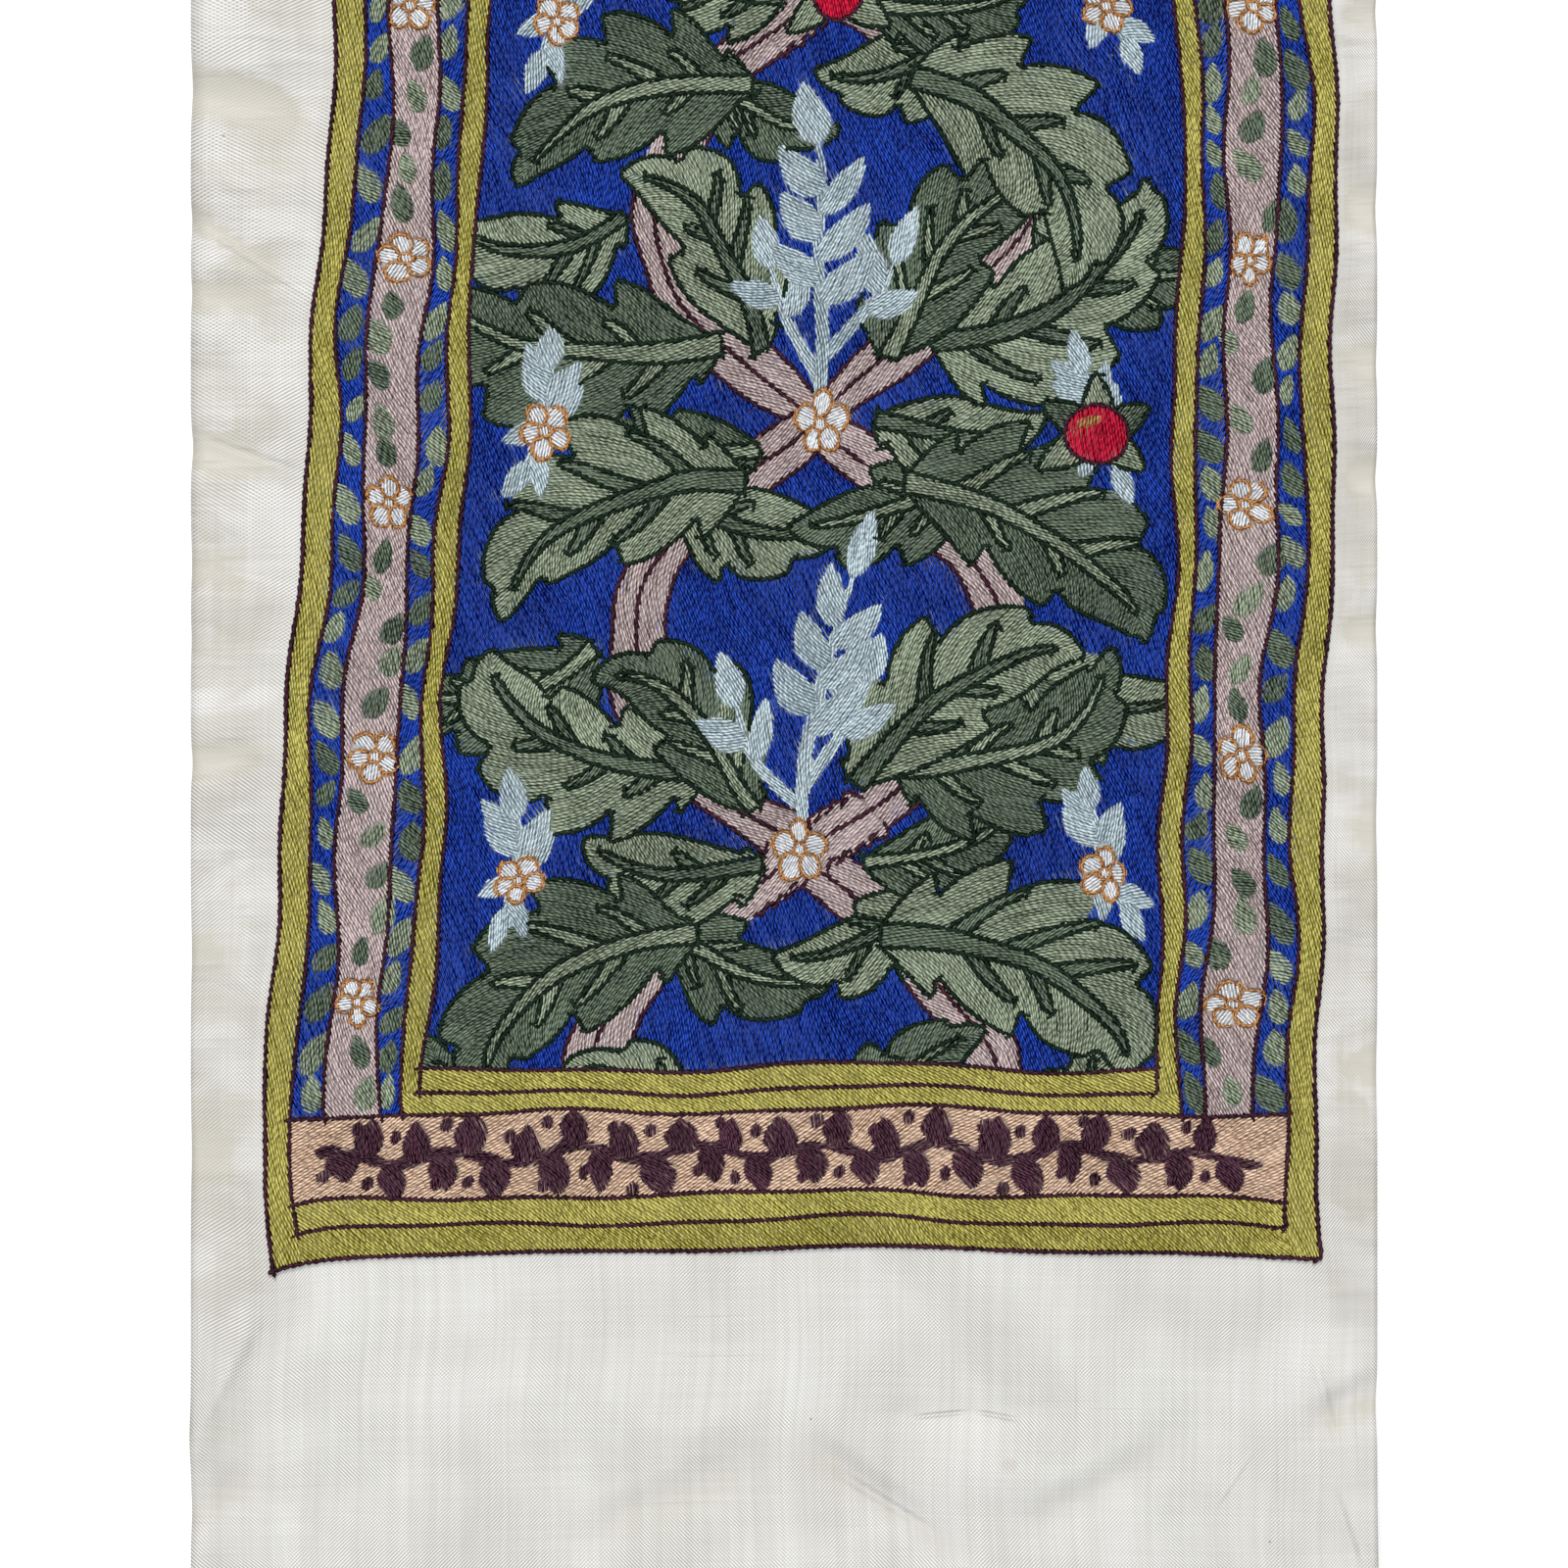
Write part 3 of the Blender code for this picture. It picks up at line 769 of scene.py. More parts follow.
def lay_rows(area, number):
    """Both ends of every stitch in one area of the plan, in the squared-up design."""
    slant = np.radians(area.slant)
    cos, sin = np.cos(slant), np.sin(slant)
    corners = np.array([(s, t) for s in (0.0, area.path.length) for t in (-area.reach, area.reach)])
    p_corners = corners @ (cos, sin)
    q_corners = corners @ (-sin, cos)
    p = np.arange(p_corners.min() - PAST_SHAPE, p_corners.max() + PAST_SHAPE, STEP)
    q = np.arange(q_corners.min() - PAST_SHAPE, q_corners.max() + PAST_SHAPE, THREAD_PITCH)
    q_grid = q[:, None] + row_drift(p, number)
    s = p * cos - q_grid * sin
    t = p * sin + q_grid * cos
    place = area.path.at(s, t)
    hit = cells_at(place[..., 0], place[..., 1]) == number
    hit &= (s > -PAST_SHAPE) & (s < area.path.length + PAST_SHAPE) & (abs(t) < area.reach + PAST_SHAPE)
    edges = np.diff(np.pad(hit, ((0, 0), (1, 1))).astype(np.int8), axis=1)
    row, start = np.nonzero(edges == 1)
    end = np.nonzero(edges == -1)[1] - 1
    long_enough = (end - start) * STEP > SHORTEST
    row, start, end = row[long_enough], p[start[long_enough]], p[end[long_enough]]
    if not len(row):
        return None
    offset = dice.random(len(q)) * area.length
    spare = LEAST_PART * area.length
    first = np.ceil((start + spare - offset[row]) / area.length)
    last = np.floor((end - spare - offset[row]) / area.length)
    cuts = np.maximum(0, last - first + 1).astype(int)
    run = np.repeat(np.arange(len(row)), cuts + 1)
    place_in_run = np.arange(len(run)) - np.repeat(np.cumsum(cuts + 1) - cuts - 1, cuts + 1)
    finish = (first[run] + place_in_run) * area.length + offset[row[run]]
    finish += dice.uniform(-STAGGER, STAGGER, len(run)) * area.length
    finish = np.where(place_in_run == cuts[run], end[run], finish)
    begin = np.where(place_in_run == 0, start[run], np.roll(finish, 1))
    ends = []
    for tip in (begin - OVERLAP, finish + OVERLAP):
        beside = q[row[run]] + row_drift(tip, number) + dice.normal(0.0, ROW_STRAY, len(run))
        ends.append(area.path.at(tip * cos - beside * sin, tip * sin + beside * cos))
    return np.hstack(ends)


def stitch_shape():
    """One stitch, a unit long, wide and high: a round-backed spindle that is pointed at both ends."""
    shape = bmesh.new()
    grain = shape.verts.layers.float_vector.new("grain")
    tips = [shape.verts.new((end * 0.5, 0.0, TIP_HEIGHT)) for end in (-1, 1)]
    sections = []
    for end in (-1, 1):
        ring = [(end * SIDE_END, -0.5, 0.0), (end * SIDE_END, 0.5, 0.0), (end * RIDGE_END, 0.0, 1.0)]
        sections.append([shape.verts.new(point) for point in ring])
    for near, far in ((0, 1), (1, 2), (2, 0)):
        shape.faces.new((sections[0][near], sections[0][far], sections[1][far], sections[1][near]))
        shape.faces.new((sections[0][far], sections[0][near], tips[0]))
        shape.faces.new((sections[1][near], sections[1][far], tips[1]))
    for point in shape.verts:
        point[grain] = point.co
    bmesh.ops.triangulate(shape, faces=shape.faces)
    bmesh.ops.recalc_face_normals(shape, faces=shape.faces)
    mesh = bpy.data.meshes.new("stitch")
    shape.to_mesh(mesh)
    shape.free()
    mesh.shade_smooth()
    stitch = bpy.data.objects.new("stitch", mesh)
    bpy.context.scene.collection.objects.link(stitch)
    return stitch


class Value:
    """What one socket of a node tree gives. Python's operators on it add the nodes that work them out."""

    def __init__(self, maker, socket):
        self.maker = maker
        self.socket = socket

    def maths(self, operation, *values):
        return self.maker.node("ShaderNodeMath", {"operation": operation}, dict(enumerate(values)))

    def __add__(self, other):
        return self.maths("ADD", self, other)

    def __sub__(self, other):
        return self.maths("SUBTRACT", self, other)

    def __rsub__(self, other):
        return self.maths("SUBTRACT", other, self)

    def __mul__(self, other):
        return self.maths("MULTIPLY", self, other)

    def __truediv__(self, other):
        return self.maths("DIVIDE", self, other)

    __radd__ = __add__
    __rmul__ = __mul__

    def sine(self):
        return self.maths("SINE", self)

    def size(self):
        return self.maths("ABSOLUTE", self)

    def ramp(self, low, high):
        """0 below low, 1 above high, and smooth between them."""
        return self.maker.node("ShaderNodeMapRange", {"interpolation_type": "SMOOTHSTEP"},
                               {"Value": self, "From Min": low, "From Max": high})


class Nodes:
    """A node tree being made, with one method that adds any node to it."""

    def node(self, kind, settings=None, sockets=None, output=0):
        """Adds a node, sets it, and fills the sockets named with numbers or with what other nodes give."""
        made = self.tree.nodes.new(kind)
        for name, value in (settings or {}).items():
            setattr(made, name, value)
        self.fill(made, sockets or {})
        return Value(self, made.outputs[output])

    def fill(self, made, sockets):
        for name, value in sockets.items():
            if isinstance(value, Value):
                self.tree.links.new(value.socket, made.inputs[name])
            else:
                made.inputs[name].default_value = value

    def axes(self, vector):
        """The x, y and z of a vector."""
        parted = self.node("ShaderNodeSeparateXYZ", None, {0: vector}).socket.node
        return [Value(self, socket) for socket in parted.outputs]

    def scaled(self, vector, scale):
        return self.node("ShaderNodeVectorMath", {"operation": "MULTIPLY"}, {0: vector, 1: scale})


class Tree(Nodes):
    """A Geometry Nodes tree with named inputs, which stands a stitch on each of its points."""

    INPUTS = (("Stitch", "Object"), ("Width", "Float"), ("Height", "Float"), ("Unevenness", "Float"),
              ("Seed", "Int"), ("Material", "Material"))

    def __init__(self, name, more_inputs=()):
        self.tree = bpy.data.node_groups.new(name, "GeometryNodeTree")
        face = self.tree.interface
        face.new_socket("Geometry", in_out="INPUT", socket_type="NodeSocketGeometry")
        face.new_socket("Geometry", in_out="OUTPUT", socket_type="NodeSocketGeometry")
        for label, kind in self.INPUTS + more_inputs:
            face.new_socket(label, in_out="INPUT", socket_type="NodeSocket" + kind)
        self.start = self.tree.nodes.new("NodeGroupInput")

    def given(self, name):
        """What the object's modifier gives for a named input."""
        return Value(self, self.start.outputs[name])

    def chance(self, low, high, salt):
        """A random number for each point, from low to high."""
        sockets = {2: low, 3: high, "Seed": self.given("Seed") + salt}
        return self.node("FunctionNodeRandomValue", {"data_type": "FLOAT"}, sockets, 1)

    def uneven(self, name, salt):
        """A named size, which varies from point to point by the share named Unevenness."""
        share = self.given("Unevenness")
        return self.given(name) * self.chance(1.0 - share, 1.0 + share, salt)

    def read(self, name):
        return self.node("GeometryNodeInputNamedAttribute", {"data_type": "FLOAT"}, {"Name": name})

    def store(self, geometry, name, value, kind="FLOAT", domain="POINT"):
        return self.node("GeometryNodeStoreNamedAttribute", {"data_type": kind, "domain": domain},
                         {"Geometry": geometry, "Name": name, "Value": value})

    def flat_place(self):
        """Where a point lies on the cloth as seen from above, from 0 to 1 each way."""
        place = self.scaled(self.node("GeometryNodeInputPosition"), (1.0 / (CLOTH_LENGTH * MM),) * 3)
        return self.node("ShaderNodeVectorMath", {"operation": "ADD"}, {0: place, 1: (0.5, 0.5, 0.0)})

    def finish(self, points, turn, size):
        """Stands the stitch on each point, turned about and stretched along the three axes."""
        stitch = self.node("GeometryNodeObjectInfo", None, {"Object": self.given("Stitch")}, "Geometry")
        turn = self.node("ShaderNodeCombineXYZ", None, dict(enumerate(turn)))
        size = self.node("ShaderNodeCombineXYZ", None, dict(enumerate(size)))
        laid = self.node("GeometryNodeInstanceOnPoints", None,
                         {"Points": points, "Instance": stitch, "Rotation": turn, "Scale": size})
        real = self.node("GeometryNodeRealizeInstances", None, {"Geometry": laid})
        real = self.store(real, "OFBake", self.flat_place(), "FLOAT2", "CORNER")
        sockets = {"Geometry": real, "Material": self.given("Material")}
        self.fill(self.tree.nodes.new("NodeGroupOutput"),
                  {0: self.node("GeometryNodeSetMaterial", None, sockets)})
        return self

    def make(self, carrier, values):
        """Runs the tree on an object and turns the result into its plain mesh."""
        modifier = carrier.modifiers.new(self.tree.name, "NODES")
        modifier.node_group = self.tree
        for item in self.tree.interface.items_tree:
            if item.in_out == "INPUT" and item.name in values:
                modifier[item.identifier] = values[item.name]
        seen = carrier.evaluated_get(bpy.context.evaluated_depsgraph_get())
        mesh = bpy.data.meshes.new_from_object(seen)
        carrier.modifiers.remove(modifier)
        carrier.data = mesh
        mesh.name = carrier.name


class Look(Nodes):
    """A material being made."""

    def __init__(self, name):
        self.material = bpy.data.materials.new(name)
        self.material.use_nodes = True
        self.tree = self.material.node_tree

    def finish(self, **sockets):
        sockets = {name.replace("_", " "): value for name, value in sockets.items()}
        self.fill(self.tree.nodes["Principled BSDF"], sockets)
        return self.material

    def place(self):
        return self.node("ShaderNodeTexCoord", output="Object")

    def attribute(self, name, output="Fac"):
        return self.node("ShaderNodeAttribute", {"attribute_name": name}, output=output)

    def noise(self, place, stretch, detail, swirl=0.0):
        """Noise that is finer along each axis the more the place is stretched there."""
        place = self.scaled(place, stretch)
        sockets = {"Vector": place, "Scale": 1.0, "Detail": detail, "Distortion": swirl}
        return self.node("ShaderNodeTexNoise", None, sockets)

    def mix(self, share, first, second):
        return self.node("ShaderNodeMix", {"data_type": "RGBA"}, {0: share, 6: first, 7: second}, 2)

    def bump(self, height, distance, strength=1.0):
        sockets = {"Height": height, "Distance": distance, "Strength": strength}
        return self.node("ShaderNodeBump", None, sockets)


def filling_tree():
    """Turns and stretches each stitch by its point's own angle and length."""
    tree = Tree("filling stitches")
    points = tree.store(tree.given("Geometry"), "tint", tree.chance(0.0, 1.0, 4))
    turn = (tree.chance(-FILLING_ROLL, FILLING_ROLL, 3), 0.0, tree.read("angle"))
    size = (tree.read("length"), tree.uneven("Width", 1), tree.uneven("Height", 2))
    return tree.finish(points, turn, size)


TWIST, PLY_LEAN = 1.6, 0.7
PLY_DEPTH, PLY_BUMP = 0.05, 0.7
BACK_LIGHT, STITCH_LIGHT, SHAPE_LIGHT, PLY_LIGHT, SLOW_LIGHT, DIM = 0.60, 0.28, 0.14, 0.25, 0.5, 0.35


def thread_look(name):
    """Stranded thread: each stitch has its own shade, plies wind round it and its back has painted light."""
    gaps, fibres, _ = threads[name]
    look = Look(name)
    along, across, _ = look.axes(look.attribute("grain", "Vector"))
    tint = look.attribute("tint")
    turns = along * look.attribute("length") / (TWIST * MM) + across * PLY_LEAN + tint
    plies = (turns * 2.0 * np.pi).sine()
    slow = look.noise(look.place(), (55.0, 55.0, 55.0), 3.0)
    # Painted light and shade: the colour runs from the shaded one at a stitch's flanks to the lit one along
    # its back, and the plies are painted lighter and darker in turn; the stitch's tint, its shape's shade
    # and a slow drift vary its tone.
    light = (1.0 - across.size() * 2.0) * BACK_LIGHT + tint * STITCH_LIGHT
    light = light + look.attribute("shade") * SHAPE_LIGHT + plies * PLY_LIGHT + slow * SLOW_LIGHT - DIM
    colour = look.mix(light.ramp(0.0, 1.1), (*gaps, 1.0), (*fibres, 1.0))
    return look.finish(Base_Color=colour, Roughness=0.5, Specular_IOR_Level=0.05,
                       Normal=look.bump(plies, PLY_DEPTH * MM, PLY_BUMP))


def mark(mesh, name, values, kind="FLOAT", domain="POINT"):
    """Gives a mesh a named number or colour at each of its points or faces."""
    field = "color" if kind == "FLOAT_COLOR" else "value"
    data = mesh.attributes.new(name, kind, domain).data
    data.foreach_set(field, np.asarray(values, np.float32).ravel())


laid = {name: [] for name in threads}
shades = {name: [] for name in threads}
for number, area in enumerate(areas, 1):
    stitches = lay_rows(area, number)
    if stitches is not None:
        laid[area.thread].append(stitches)
        shades[area.thread].append(np.full(len(stitches), dice.random()))

stitch = stitch_shape()
filling = filling_tree()
looks = {name: thread_look(name) for name in threads}


def finish_threads(piece):
    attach(piece, "root")


for seed, name in enumerate(threads):
    if not laid[name]:
        continue
    ends = np.vstack(laid[name])
    first_x, first_y = worked(ends[:, 0], ends[:, 1])
    last_x, last_y = worked(ends[:, 2], ends[:, 3])
    x, y = (first_x + last_x) / 2, (first_y + last_y) / 2
    z = STITCH_BASE + relief(x, y) + dice.uniform(*BASE_STRAY, len(x))
    guides = bpy.data.meshes.new(name)
    guides.from_pydata(np.stack([x, y, z], -1) * MM, [], [])
    mark(guides, "length", np.hypot(last_x - first_x, last_y - first_y) * MM)
    mark(guides, "angle", np.arctan2(last_y - first_y, last_x - first_x))
    mark(guides, "shade", np.concatenate(shades[name]))
    piece = bpy.data.objects.new(name + "_stitches", guides)
    bpy.context.scene.collection.objects.link(piece)
    filling.make(piece, {
        "Stitch": stitch, "Width": THREAD_WIDTH * MM, "Height": THREAD_HEIGHT * MM,
        "Unevenness": FILLING_UNEVENNESS, "Seed": seed, "Material": looks[name],
    })
    finish_threads(piece)

# Outline stitches
# Every leaf, stem, petal and band is edged with a line of stem stitch: short stitches that overlap like the
# turns of a rope and stand a little over the filling.
OUTLINE_LENGTH, OUTLINE_STEP, OUTLINE_WIDTH, OUTLINE_HEIGHT = 3.0, 1.7, 1.0, 0.55
OUTLINE_BASE = WORKED_THICK + 0.12
OUTLINE_SLANT, OUTLINE_UNEVENNESS, OUTLINE_SEED = 0.22, 0.15, 40
TUCKED, LEAST_RUN = 2, 3
# Length and width beside the full ones
OUTLINE_SIZES = {"plum_line": (1.0, 0.94), "deep_green": (1.0, 1.04), "orange": (0.62, 0.76)}


def outline_tree():
    """Follows each line with overlapping stitches that lie at a small slant to it."""
    tree = Tree("outline stitches", (("Length", "Float"), ("Step", "Float"), ("Slant", "Float")))
    line = tree.node("GeometryNodeMeshToCurve", None, {"Mesh": tree.given("Geometry")})
    sockets = {"Curve": line, "Length": tree.given("Step")}
    line = tree.node("GeometryNodeResampleCurve", {"mode": "LENGTH"}, sockets)
    x, y, _ = tree.axes(tree.node("GeometryNodeInputTangent"))
    length = tree.uneven("Length", 1)
    points = tree.store(line, "tint", tree.chance(0.0, 1.0, 4))
    points = tree.store(points, "length", length)
    turn = (0.0, 0.0, y.maths("ARCTAN2", y, x) + tree.given("Slant"))
    size = (length, tree.uneven("Width", 2), tree.uneven("Height", 3))
    return tree.finish(points, turn, size)


def visible_runs(line):
    """The stretches of an outline that nothing drawn later hides."""
    gaps = np.hypot(*np.diff(line.points, axis=0).T)
    run = np.concatenate([[0.0], np.cumsum(gaps)])
    s = np.linspace(0.0, run[-1], max(3, int(run[-1] / LINE_STEP)))
    u, v = np.interp(s, run, line.points[:, 0]), np.interp(s, run, line.points[:, 1])
    inside_panel = (abs(u) <= HALF_PANEL + NEAR) & (abs(v) <= PANEL_LENGTH / 2 + NEAR)
    shown = (cells_at(u, v) <= line.order) & inside_panel
    edges = np.diff(np.pad(shown, 1).astype(np.int8))
    for start, end in zip(np.nonzero(edges == 1)[0], np.nonzero(edges == -1)[0]):
        start, end = start + TUCKED * (start > 0), end - TUCKED * (end < len(s))
        if end - start > LEAST_RUN:
            yield u[start:end], v[start:end]


outline_stitches = outline_tree()
for seed, name in enumerate(OUTLINE_SIZES):
    points, joins = [], []
    for line in outlines:
        if line.thread == name:
            for u, v in visible_runs(line):
                x, y = worked(u, v)
                first = sum(map(len, points))
                points.append(np.stack([x, y, OUTLINE_BASE + relief(x, y)], -1) * MM)
                joins += [(first + step, first + step + 1) for step in range(len(x) - 1)]
    mesh = bpy.data.meshes.new(name + "_lines")
    mesh.from_pydata(np.vstack(points), joins, [])
    piece = bpy.data.objects.new(name.removesuffix("_line") + "_outlines", mesh)
    bpy.context.scene.collection.objects.link(piece)
    small, narrow = OUTLINE_SIZES[name]
    outline_stitches.make(piece, {
        "Stitch": stitch, "Width": OUTLINE_WIDTH * narrow * MM, "Height": OUTLINE_HEIGHT * MM,
        "Unevenness": OUTLINE_UNEVENNESS, "Seed": OUTLINE_SEED + seed, "Material": looks[name],
        "Length": OUTLINE_LENGTH * small * MM, "Step": OUTLINE_STEP * small * MM, "Slant": OUTLINE_SLANT,
    })
    finish_threads(piece)
bpy.data.objects.remove(stitch)

# Silk finish
# Plain-woven silk with faint slubs both ways. Where it is worked it is all thread on both faces, so there
# the ground takes the colour of the thread over it.
cell = cells_at(np.clip(cloth_u, -HALF_PANEL + CELL, HALF_PANEL - CELL),
                np.clip(cloth_v, CELL - PANEL_LENGTH / 2, PANEL_LENGTH / 2 - CELL))
thread_colours = np.array([threads[area.thread].fibres for area in areas])
bed = np.ones((cloth_u.size, 4))
bed[:, :3] = thread_colours[cell - 1]
mark(silk_mesh, "bed", bed, kind="FLOAT_COLOR")
mark(silk_mesh, "stitched", on_panel[faces].all(axis=1), domain="FACE")
flat_map = silk_mesh.uv_layers.new(name="weave")
loops = np.array([loop.vertex_index for loop in silk_mesh.loops])
flat_map.data.foreach_set("uv", np.stack([cloth_u[loops], cloth_v[loops]], -1).ravel() * MM)
thicken = silk.modifiers.new("thickness", "SOLIDIFY")
thicken.thickness = float(thick.max()) * MM
thicken.offset = 1.0
thicken.vertex_group = group.name
thicken.thickness_vertex_group = 0.0
silk_mesh.shade_smooth()

# Painted shade: the silk is made warmer and darker in the troughs of the puckers and folds. The margins
# beside the panel are marked as well, for the painted sheen and shade that mottle them.
SHADE_WIDTH, PUCKER_SHADE, FOLD_SHADE = 0.9, 2.0, 3.4
MARGIN_START, MARGIN_EASE = 2.0, 8.0
END_FADE, END_EASE = 0.75, 25.0
slack = np.zeros(cloth_u.size)
for row_side, row_y, slant, half_width, depth in PUCKERS:
    off = (cloth_y - row_y - slant * (HALF_CLOTH - row_side * cloth_x)) / (half_width * SHADE_WIDTH)
    out = ease((row_side * cloth_u - HALF_PANEL) / (HALF_CLOTH - HALF_PANEL)) ** PUCKER_POWER
    slack = np.maximum(slack, out * np.exp(-off * off) * depth / PUCKER_SHADE)
for fold in FOLDS:
    slack = np.maximum(slack, -fold_height(cloth_x, cloth_y, fold) / FOLD_SHADE)
beside = ease((abs(cloth_u) - HALF_PANEL + MARGIN_START) / MARGIN_EASE)
past_panel = ease((abs(cloth_v) - PANEL_LENGTH / 2) / END_EASE)
mark(silk_mesh, "margin", beside * (1.0 - END_FADE * past_panel))
mark(silk_mesh, "slack", slack)

# x1, y1, x2, y2, half width, depth (a ridge is above zero)
CREASES = (
    (25.8, -260.0, 41.6, -258.5, 0.8, -0.42),
    (40.0, -258.5, 52.0, -260.6, 0.8, -0.42),
    (8.0, -269.5, 34.0, -285.6, 1.6, -0.48),
    (-111.5, -236.0, -127.5, -266.0, 2.4, 0.32),
    (101.5, -265.7, 91.4, -280.6, 1.0, 0.24),
    (105.5, -262.7, 105.5, -296.4, 0.9, 0.22),
    (117.2, -273.1, 124.0, -294.8, 1.6, -0.45),
    (113.0, -244.0, 119.5, -268.0, 1.6, 0.35),
    (1.0, -262.0, 32.0, -284.0, 5.0, -0.7),
    (-46.0, -286.0, -6.0, -270.0, 7.0, -0.8),
    (50.0, -284.0, 88.0, -265.0, 7.0, -0.9),
    (112.0, -262.0, 129.5, -250.0, 5.0, -0.9),
    (-127.6, -2.6, -98.2, -21.5, 1.2, 0.25),
    (-127.6, -48.6, -101.4, -57.3, 1.3, -0.30),
)
# x, y, radius, strength
STAINS = (
    (48.2, -269.7, 2.2, 0.16),
    (-111.8, -194.8, 0.8, 0.7),
    (5.8, -260.2, 0.35, 0.9),
    (104.2, -286.3, 0.35, 0.9),
    (-120.1, 15.1, 0.4, 0.8),
)
WEAVE_PITCH = 0.394
SILK = (0.785, 0.785, 0.785)
SILK_WARM_TONE_AND_SHADE = (0.56, 0.535, 0.475)
SILK_GAP_SHADE = (0.36, 0.34, 0.29)
STAIN = (0.30, 0.20, 0.13)
STRAND_WARMTH, SLUB_WARMTH, CLOUD_WARMTH, SHEEN_PATCH_SHADE, MARGIN_WARMTH = 0.25, 0.35, 0.16, 0.50, 0.05
STREAK_WARMTH, STREAK_LOSS = 0.22, 0.14
LEAST_TAUT, MORE_TAUT, TROUGH_LOSS = 0.8, 0.35, 0.7
FACE_PAINTED_SHADE, REVERSE_DARK, REVERSE_LIGHT = 0.55, 0.78, 0.58
WEAVE_HEIGHT, STRAND_HEIGHT, STREAK_HEIGHT = 0.03, 0.07, 0.03
WRINKLE_HEIGHT, BILLOW_HEIGHT, REVERSE_HEIGHT = 0.36, 4.6, 0.25


def crease_height(x, y, crease):
    """A pinched line for the silk's bump, with its ends fading out."""
    x1, y1, x2, y2, half_width, depth = (value * MM for value in crease)
    length = float(np.hypot(x2 - x1, y2 - y1))
    along_x, along_y = (x2 - x1) / length, (y2 - y1) / length
    along = (x - x1) * along_x + (y - y1) * along_y
    across = (x - x1) * along_y - (y - y1) * along_x
    ends = along.ramp(0.0, length / 3) * (length - along).ramp(0.0, length / 3)
    return (1.0 - across.size().ramp(0.0, half_width)) * ends * depth


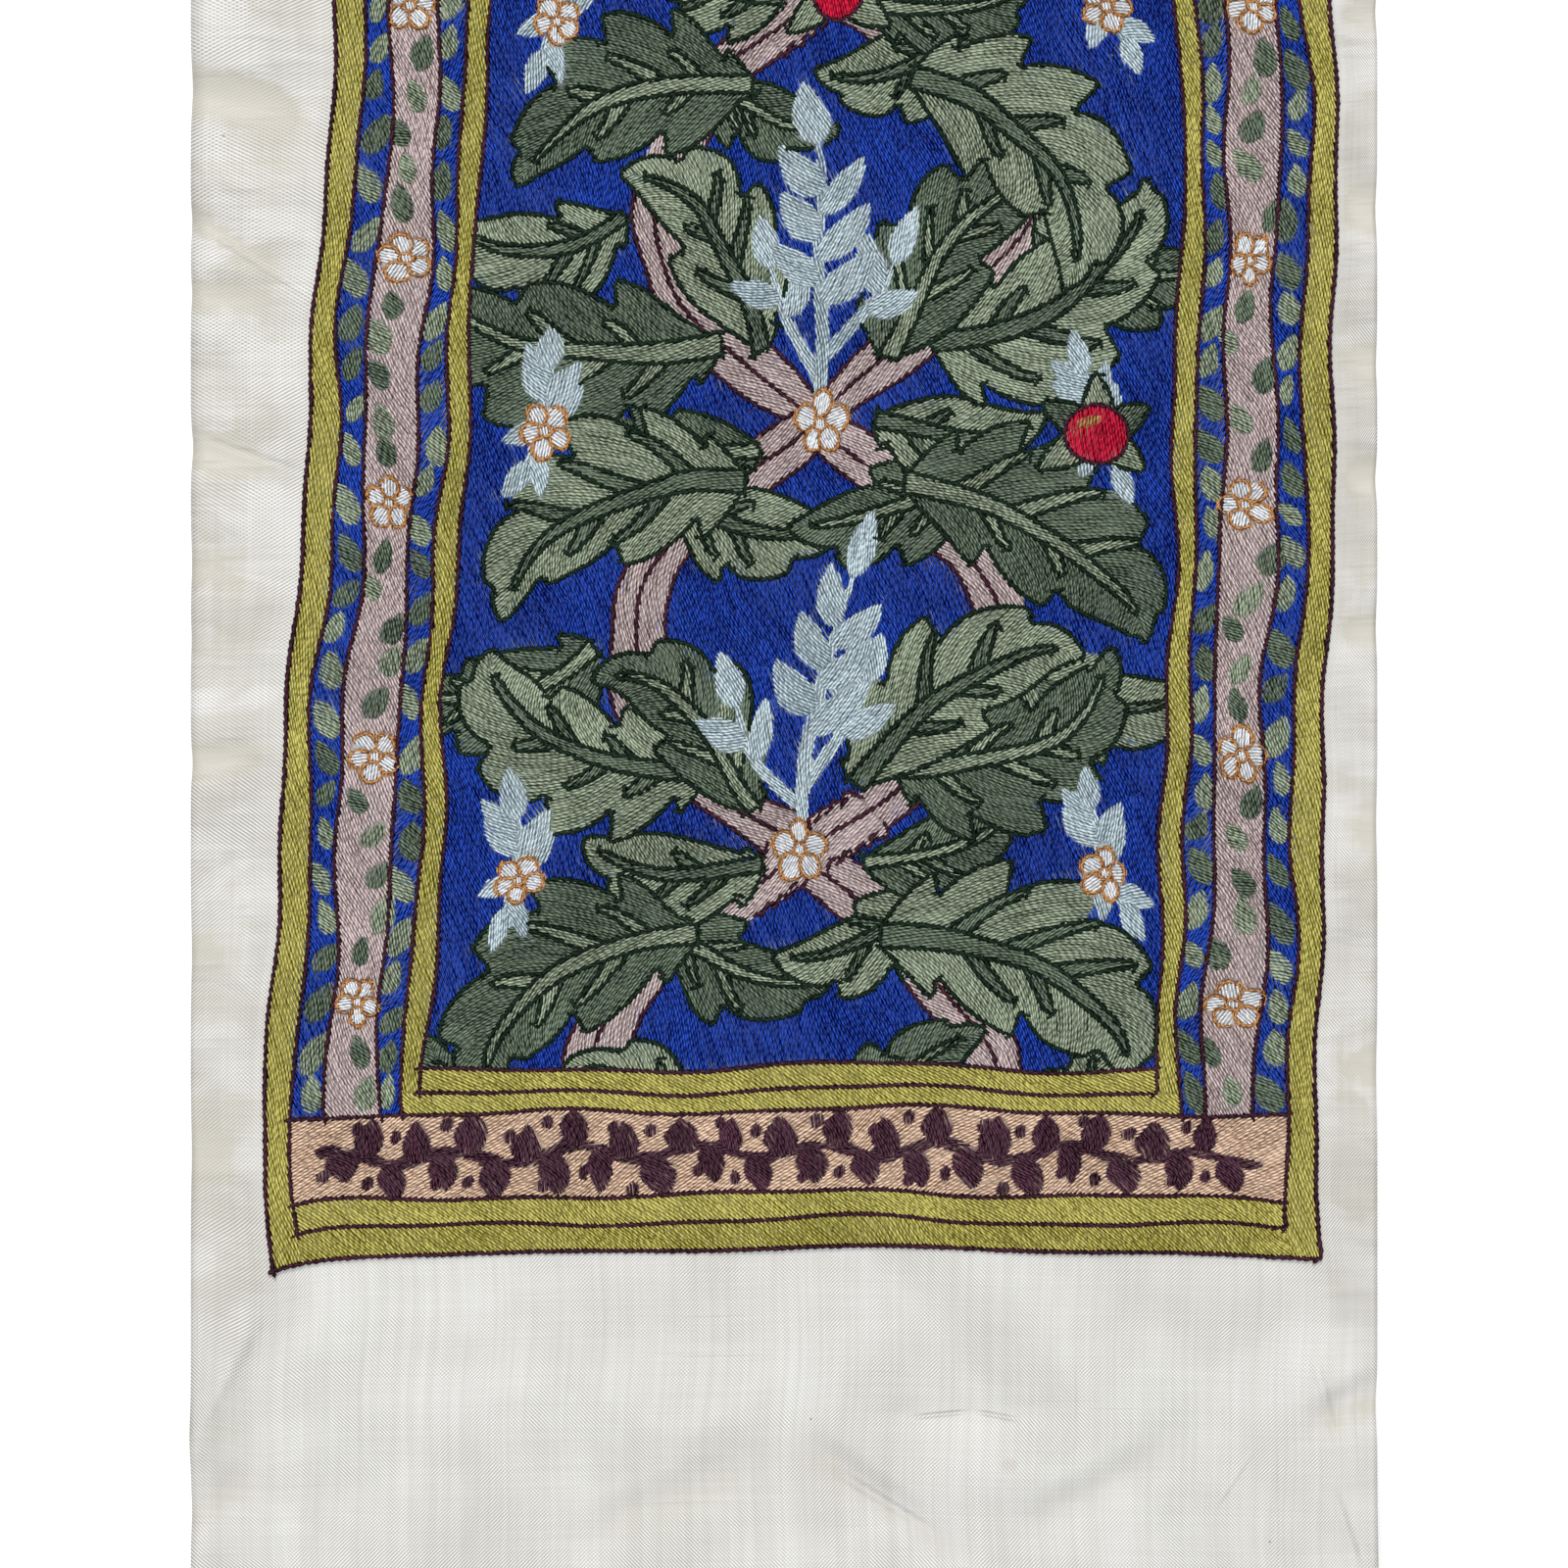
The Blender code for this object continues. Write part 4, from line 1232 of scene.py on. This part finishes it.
def silk_look():
    look = Look("ivory silk")
    uv = look.node("ShaderNodeUVMap", {"uv_map": "weave"})
    place = look.place()
    x, y, z = look.axes(place)
    u, v, _ = look.axes(uv)
    margin, stitched = look.attribute("margin"), look.attribute("stitched")
    # Painted shade in the troughs of the puckers and folds: the silk there is warmer and darker, and its
    # weave fainter.
    shade_in_troughs = look.attribute("slack").ramp(0.08, 0.85)

    strands = look.noise(uv, (30.0, 1500.0, 1.0), 3.0) * 0.5 + look.noise(uv, (1500.0, 30.0, 1.0), 3.0) * 0.5
    slubs = look.noise(uv, (26.0, 1100.0, 1.0), 1.0).ramp(0.70, 0.78)
    slubs = slubs + look.noise(uv, (1100.0, 18.0, 1.0), 1.0).ramp(0.72, 0.80)
    streaks = look.noise(uv, (520.0, 8.0, 1.0), 3.0).ramp(0.35, 0.68)
    cloudy = look.noise(place, (16.0, 24.0, 1.0), 4.0).ramp(0.42, 0.68)
    # Painted sheen and shade: on the margins the silk is mottled between its lit colour and the warmer,
    # darker one.
    sheen_patches = look.noise(place, (44.0, 70.0, 1.0), 3.0, swirl=0.9).ramp(0.40, 0.60)
    # The warmer, darker colour gives the strands, slubs, streaks and clouds their tone, warms the margins a
    # little, and stands for painted shade in the troughs and in the mottle.
    warmth_and_shade = strands.ramp(0.35, 0.65) * STRAND_WARMTH + slubs * SLUB_WARMTH + shade_in_troughs
    warmth_and_shade = warmth_and_shade + streaks * (STREAK_WARMTH - margin * STREAK_LOSS) + cloudy * CLOUD_WARMTH
    warmth_and_shade = warmth_and_shade + (sheen_patches * SHEEN_PATCH_SHADE + MARGIN_WARMTH) * margin
    ground = look.mix(warmth_and_shade, (*SILK, 1.0), (*SILK_WARM_TONE_AND_SHADE, 1.0))

    # The weave: painted shade between the crossing yarns, patchy from place to place and fainter in the
    # troughs.
    turns = np.pi / (WEAVE_PITCH * MM)
    over, under = u * turns, v * turns
    pull = look.noise(place, (26.0, 20.0, 1.0), 1.0).ramp(0.35, 0.65)
    crossing = (over + under).sine() * pull + (over - under).sine() * (1.0 - pull)
    patchy = look.noise(place, (38.0, 50.0, 1.0), 2.0).ramp(0.3, 0.7) * MORE_TAUT + LEAST_TAUT
    taut = patchy * (1.0 - shade_in_troughs * TROUGH_LOSS)
    gaps = (0.0 - crossing).ramp(-0.5, 1.0) * taut
    ground = look.mix(gaps, ground, (*SILK_GAP_SHADE, 1.0))
    for spot_x, spot_y, radius, strength in STAINS:
        off_x, off_y = x - spot_x * MM, y - spot_y * MM
        spot = 1.0 - (off_x * off_x + off_y * off_y).ramp(0.0, (radius * MM) ** 2)
        ground = look.mix(spot * strength, ground, (*STAIN, 1.0))

    # Under the stitches the ground takes the lit colour of the thread over it. On the face it is darkened as
    # painted shade deep between the stitches, and on the reverse it is darkened in streaks.
    on_face = z.ramp(0.3 * MM, 0.6 * MM)
    reverse = look.noise(uv, (1300.0, 420.0, 1.0), 2.0).ramp(0.32, 0.68)
    shaded = on_face * FACE_PAINTED_SHADE + (1.0 - on_face) * (REVERSE_DARK - reverse * REVERSE_LIGHT)
    bed = look.mix(shaded, look.attribute("bed", "Color"), (0.0, 0.0, 0.0, 1.0))
    colour = look.mix(stitched, ground, bed)

    wrinkles = look.noise(place, (30.0, 170.0, 1.0), 3.0).ramp(0.42, 0.75) * margin
    billows = look.noise(place, (24.0, 46.0, 1.0), 1.0) - 0.5
    height = crossing * taut * (WEAVE_HEIGHT * MM)
    height = height + strands * (STRAND_HEIGHT * MM) + streaks * (STREAK_HEIGHT * MM)
    height = height + wrinkles * (WRINKLE_HEIGHT * MM)
    height = height + billows * (margin * 0.7 + 0.3) * (BILLOW_HEIGHT * MM)
    height = height + reverse * (1.0 - on_face) * stitched * (REVERSE_HEIGHT * MM)
    for crease in CREASES:
        height = height + crease_height(x, y, crease)
    return look.finish(Base_Color=colour, Roughness=0.5, Specular_IOR_Level=0.35,
                       Normal=look.bump(height, 1.0))


silk_mesh.materials.append(silk_look())
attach(silk, "root")
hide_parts("embroidered_cloth")

# Floor
# A plain pale floor under the cloth, which isn't part of it. It is the white that shows at both sides of
# the picture.
FLOOR_SIZE = 6.0
floor_mesh = bpy.data.meshes.new("floor")
floor_shape = bmesh.new()
bmesh.ops.create_grid(floor_shape, x_segments=1, y_segments=1, size=FLOOR_SIZE / 2)
floor_shape.to_mesh(floor_mesh)
floor_shape.free()
floor = bpy.data.objects.new("floor", floor_mesh)
bpy.context.scene.collection.objects.link(floor)
floor_mesh.materials.append(Look("floor").finish(Base_Color=(0.94, 0.94, 0.94, 1.0), Roughness=0.9))
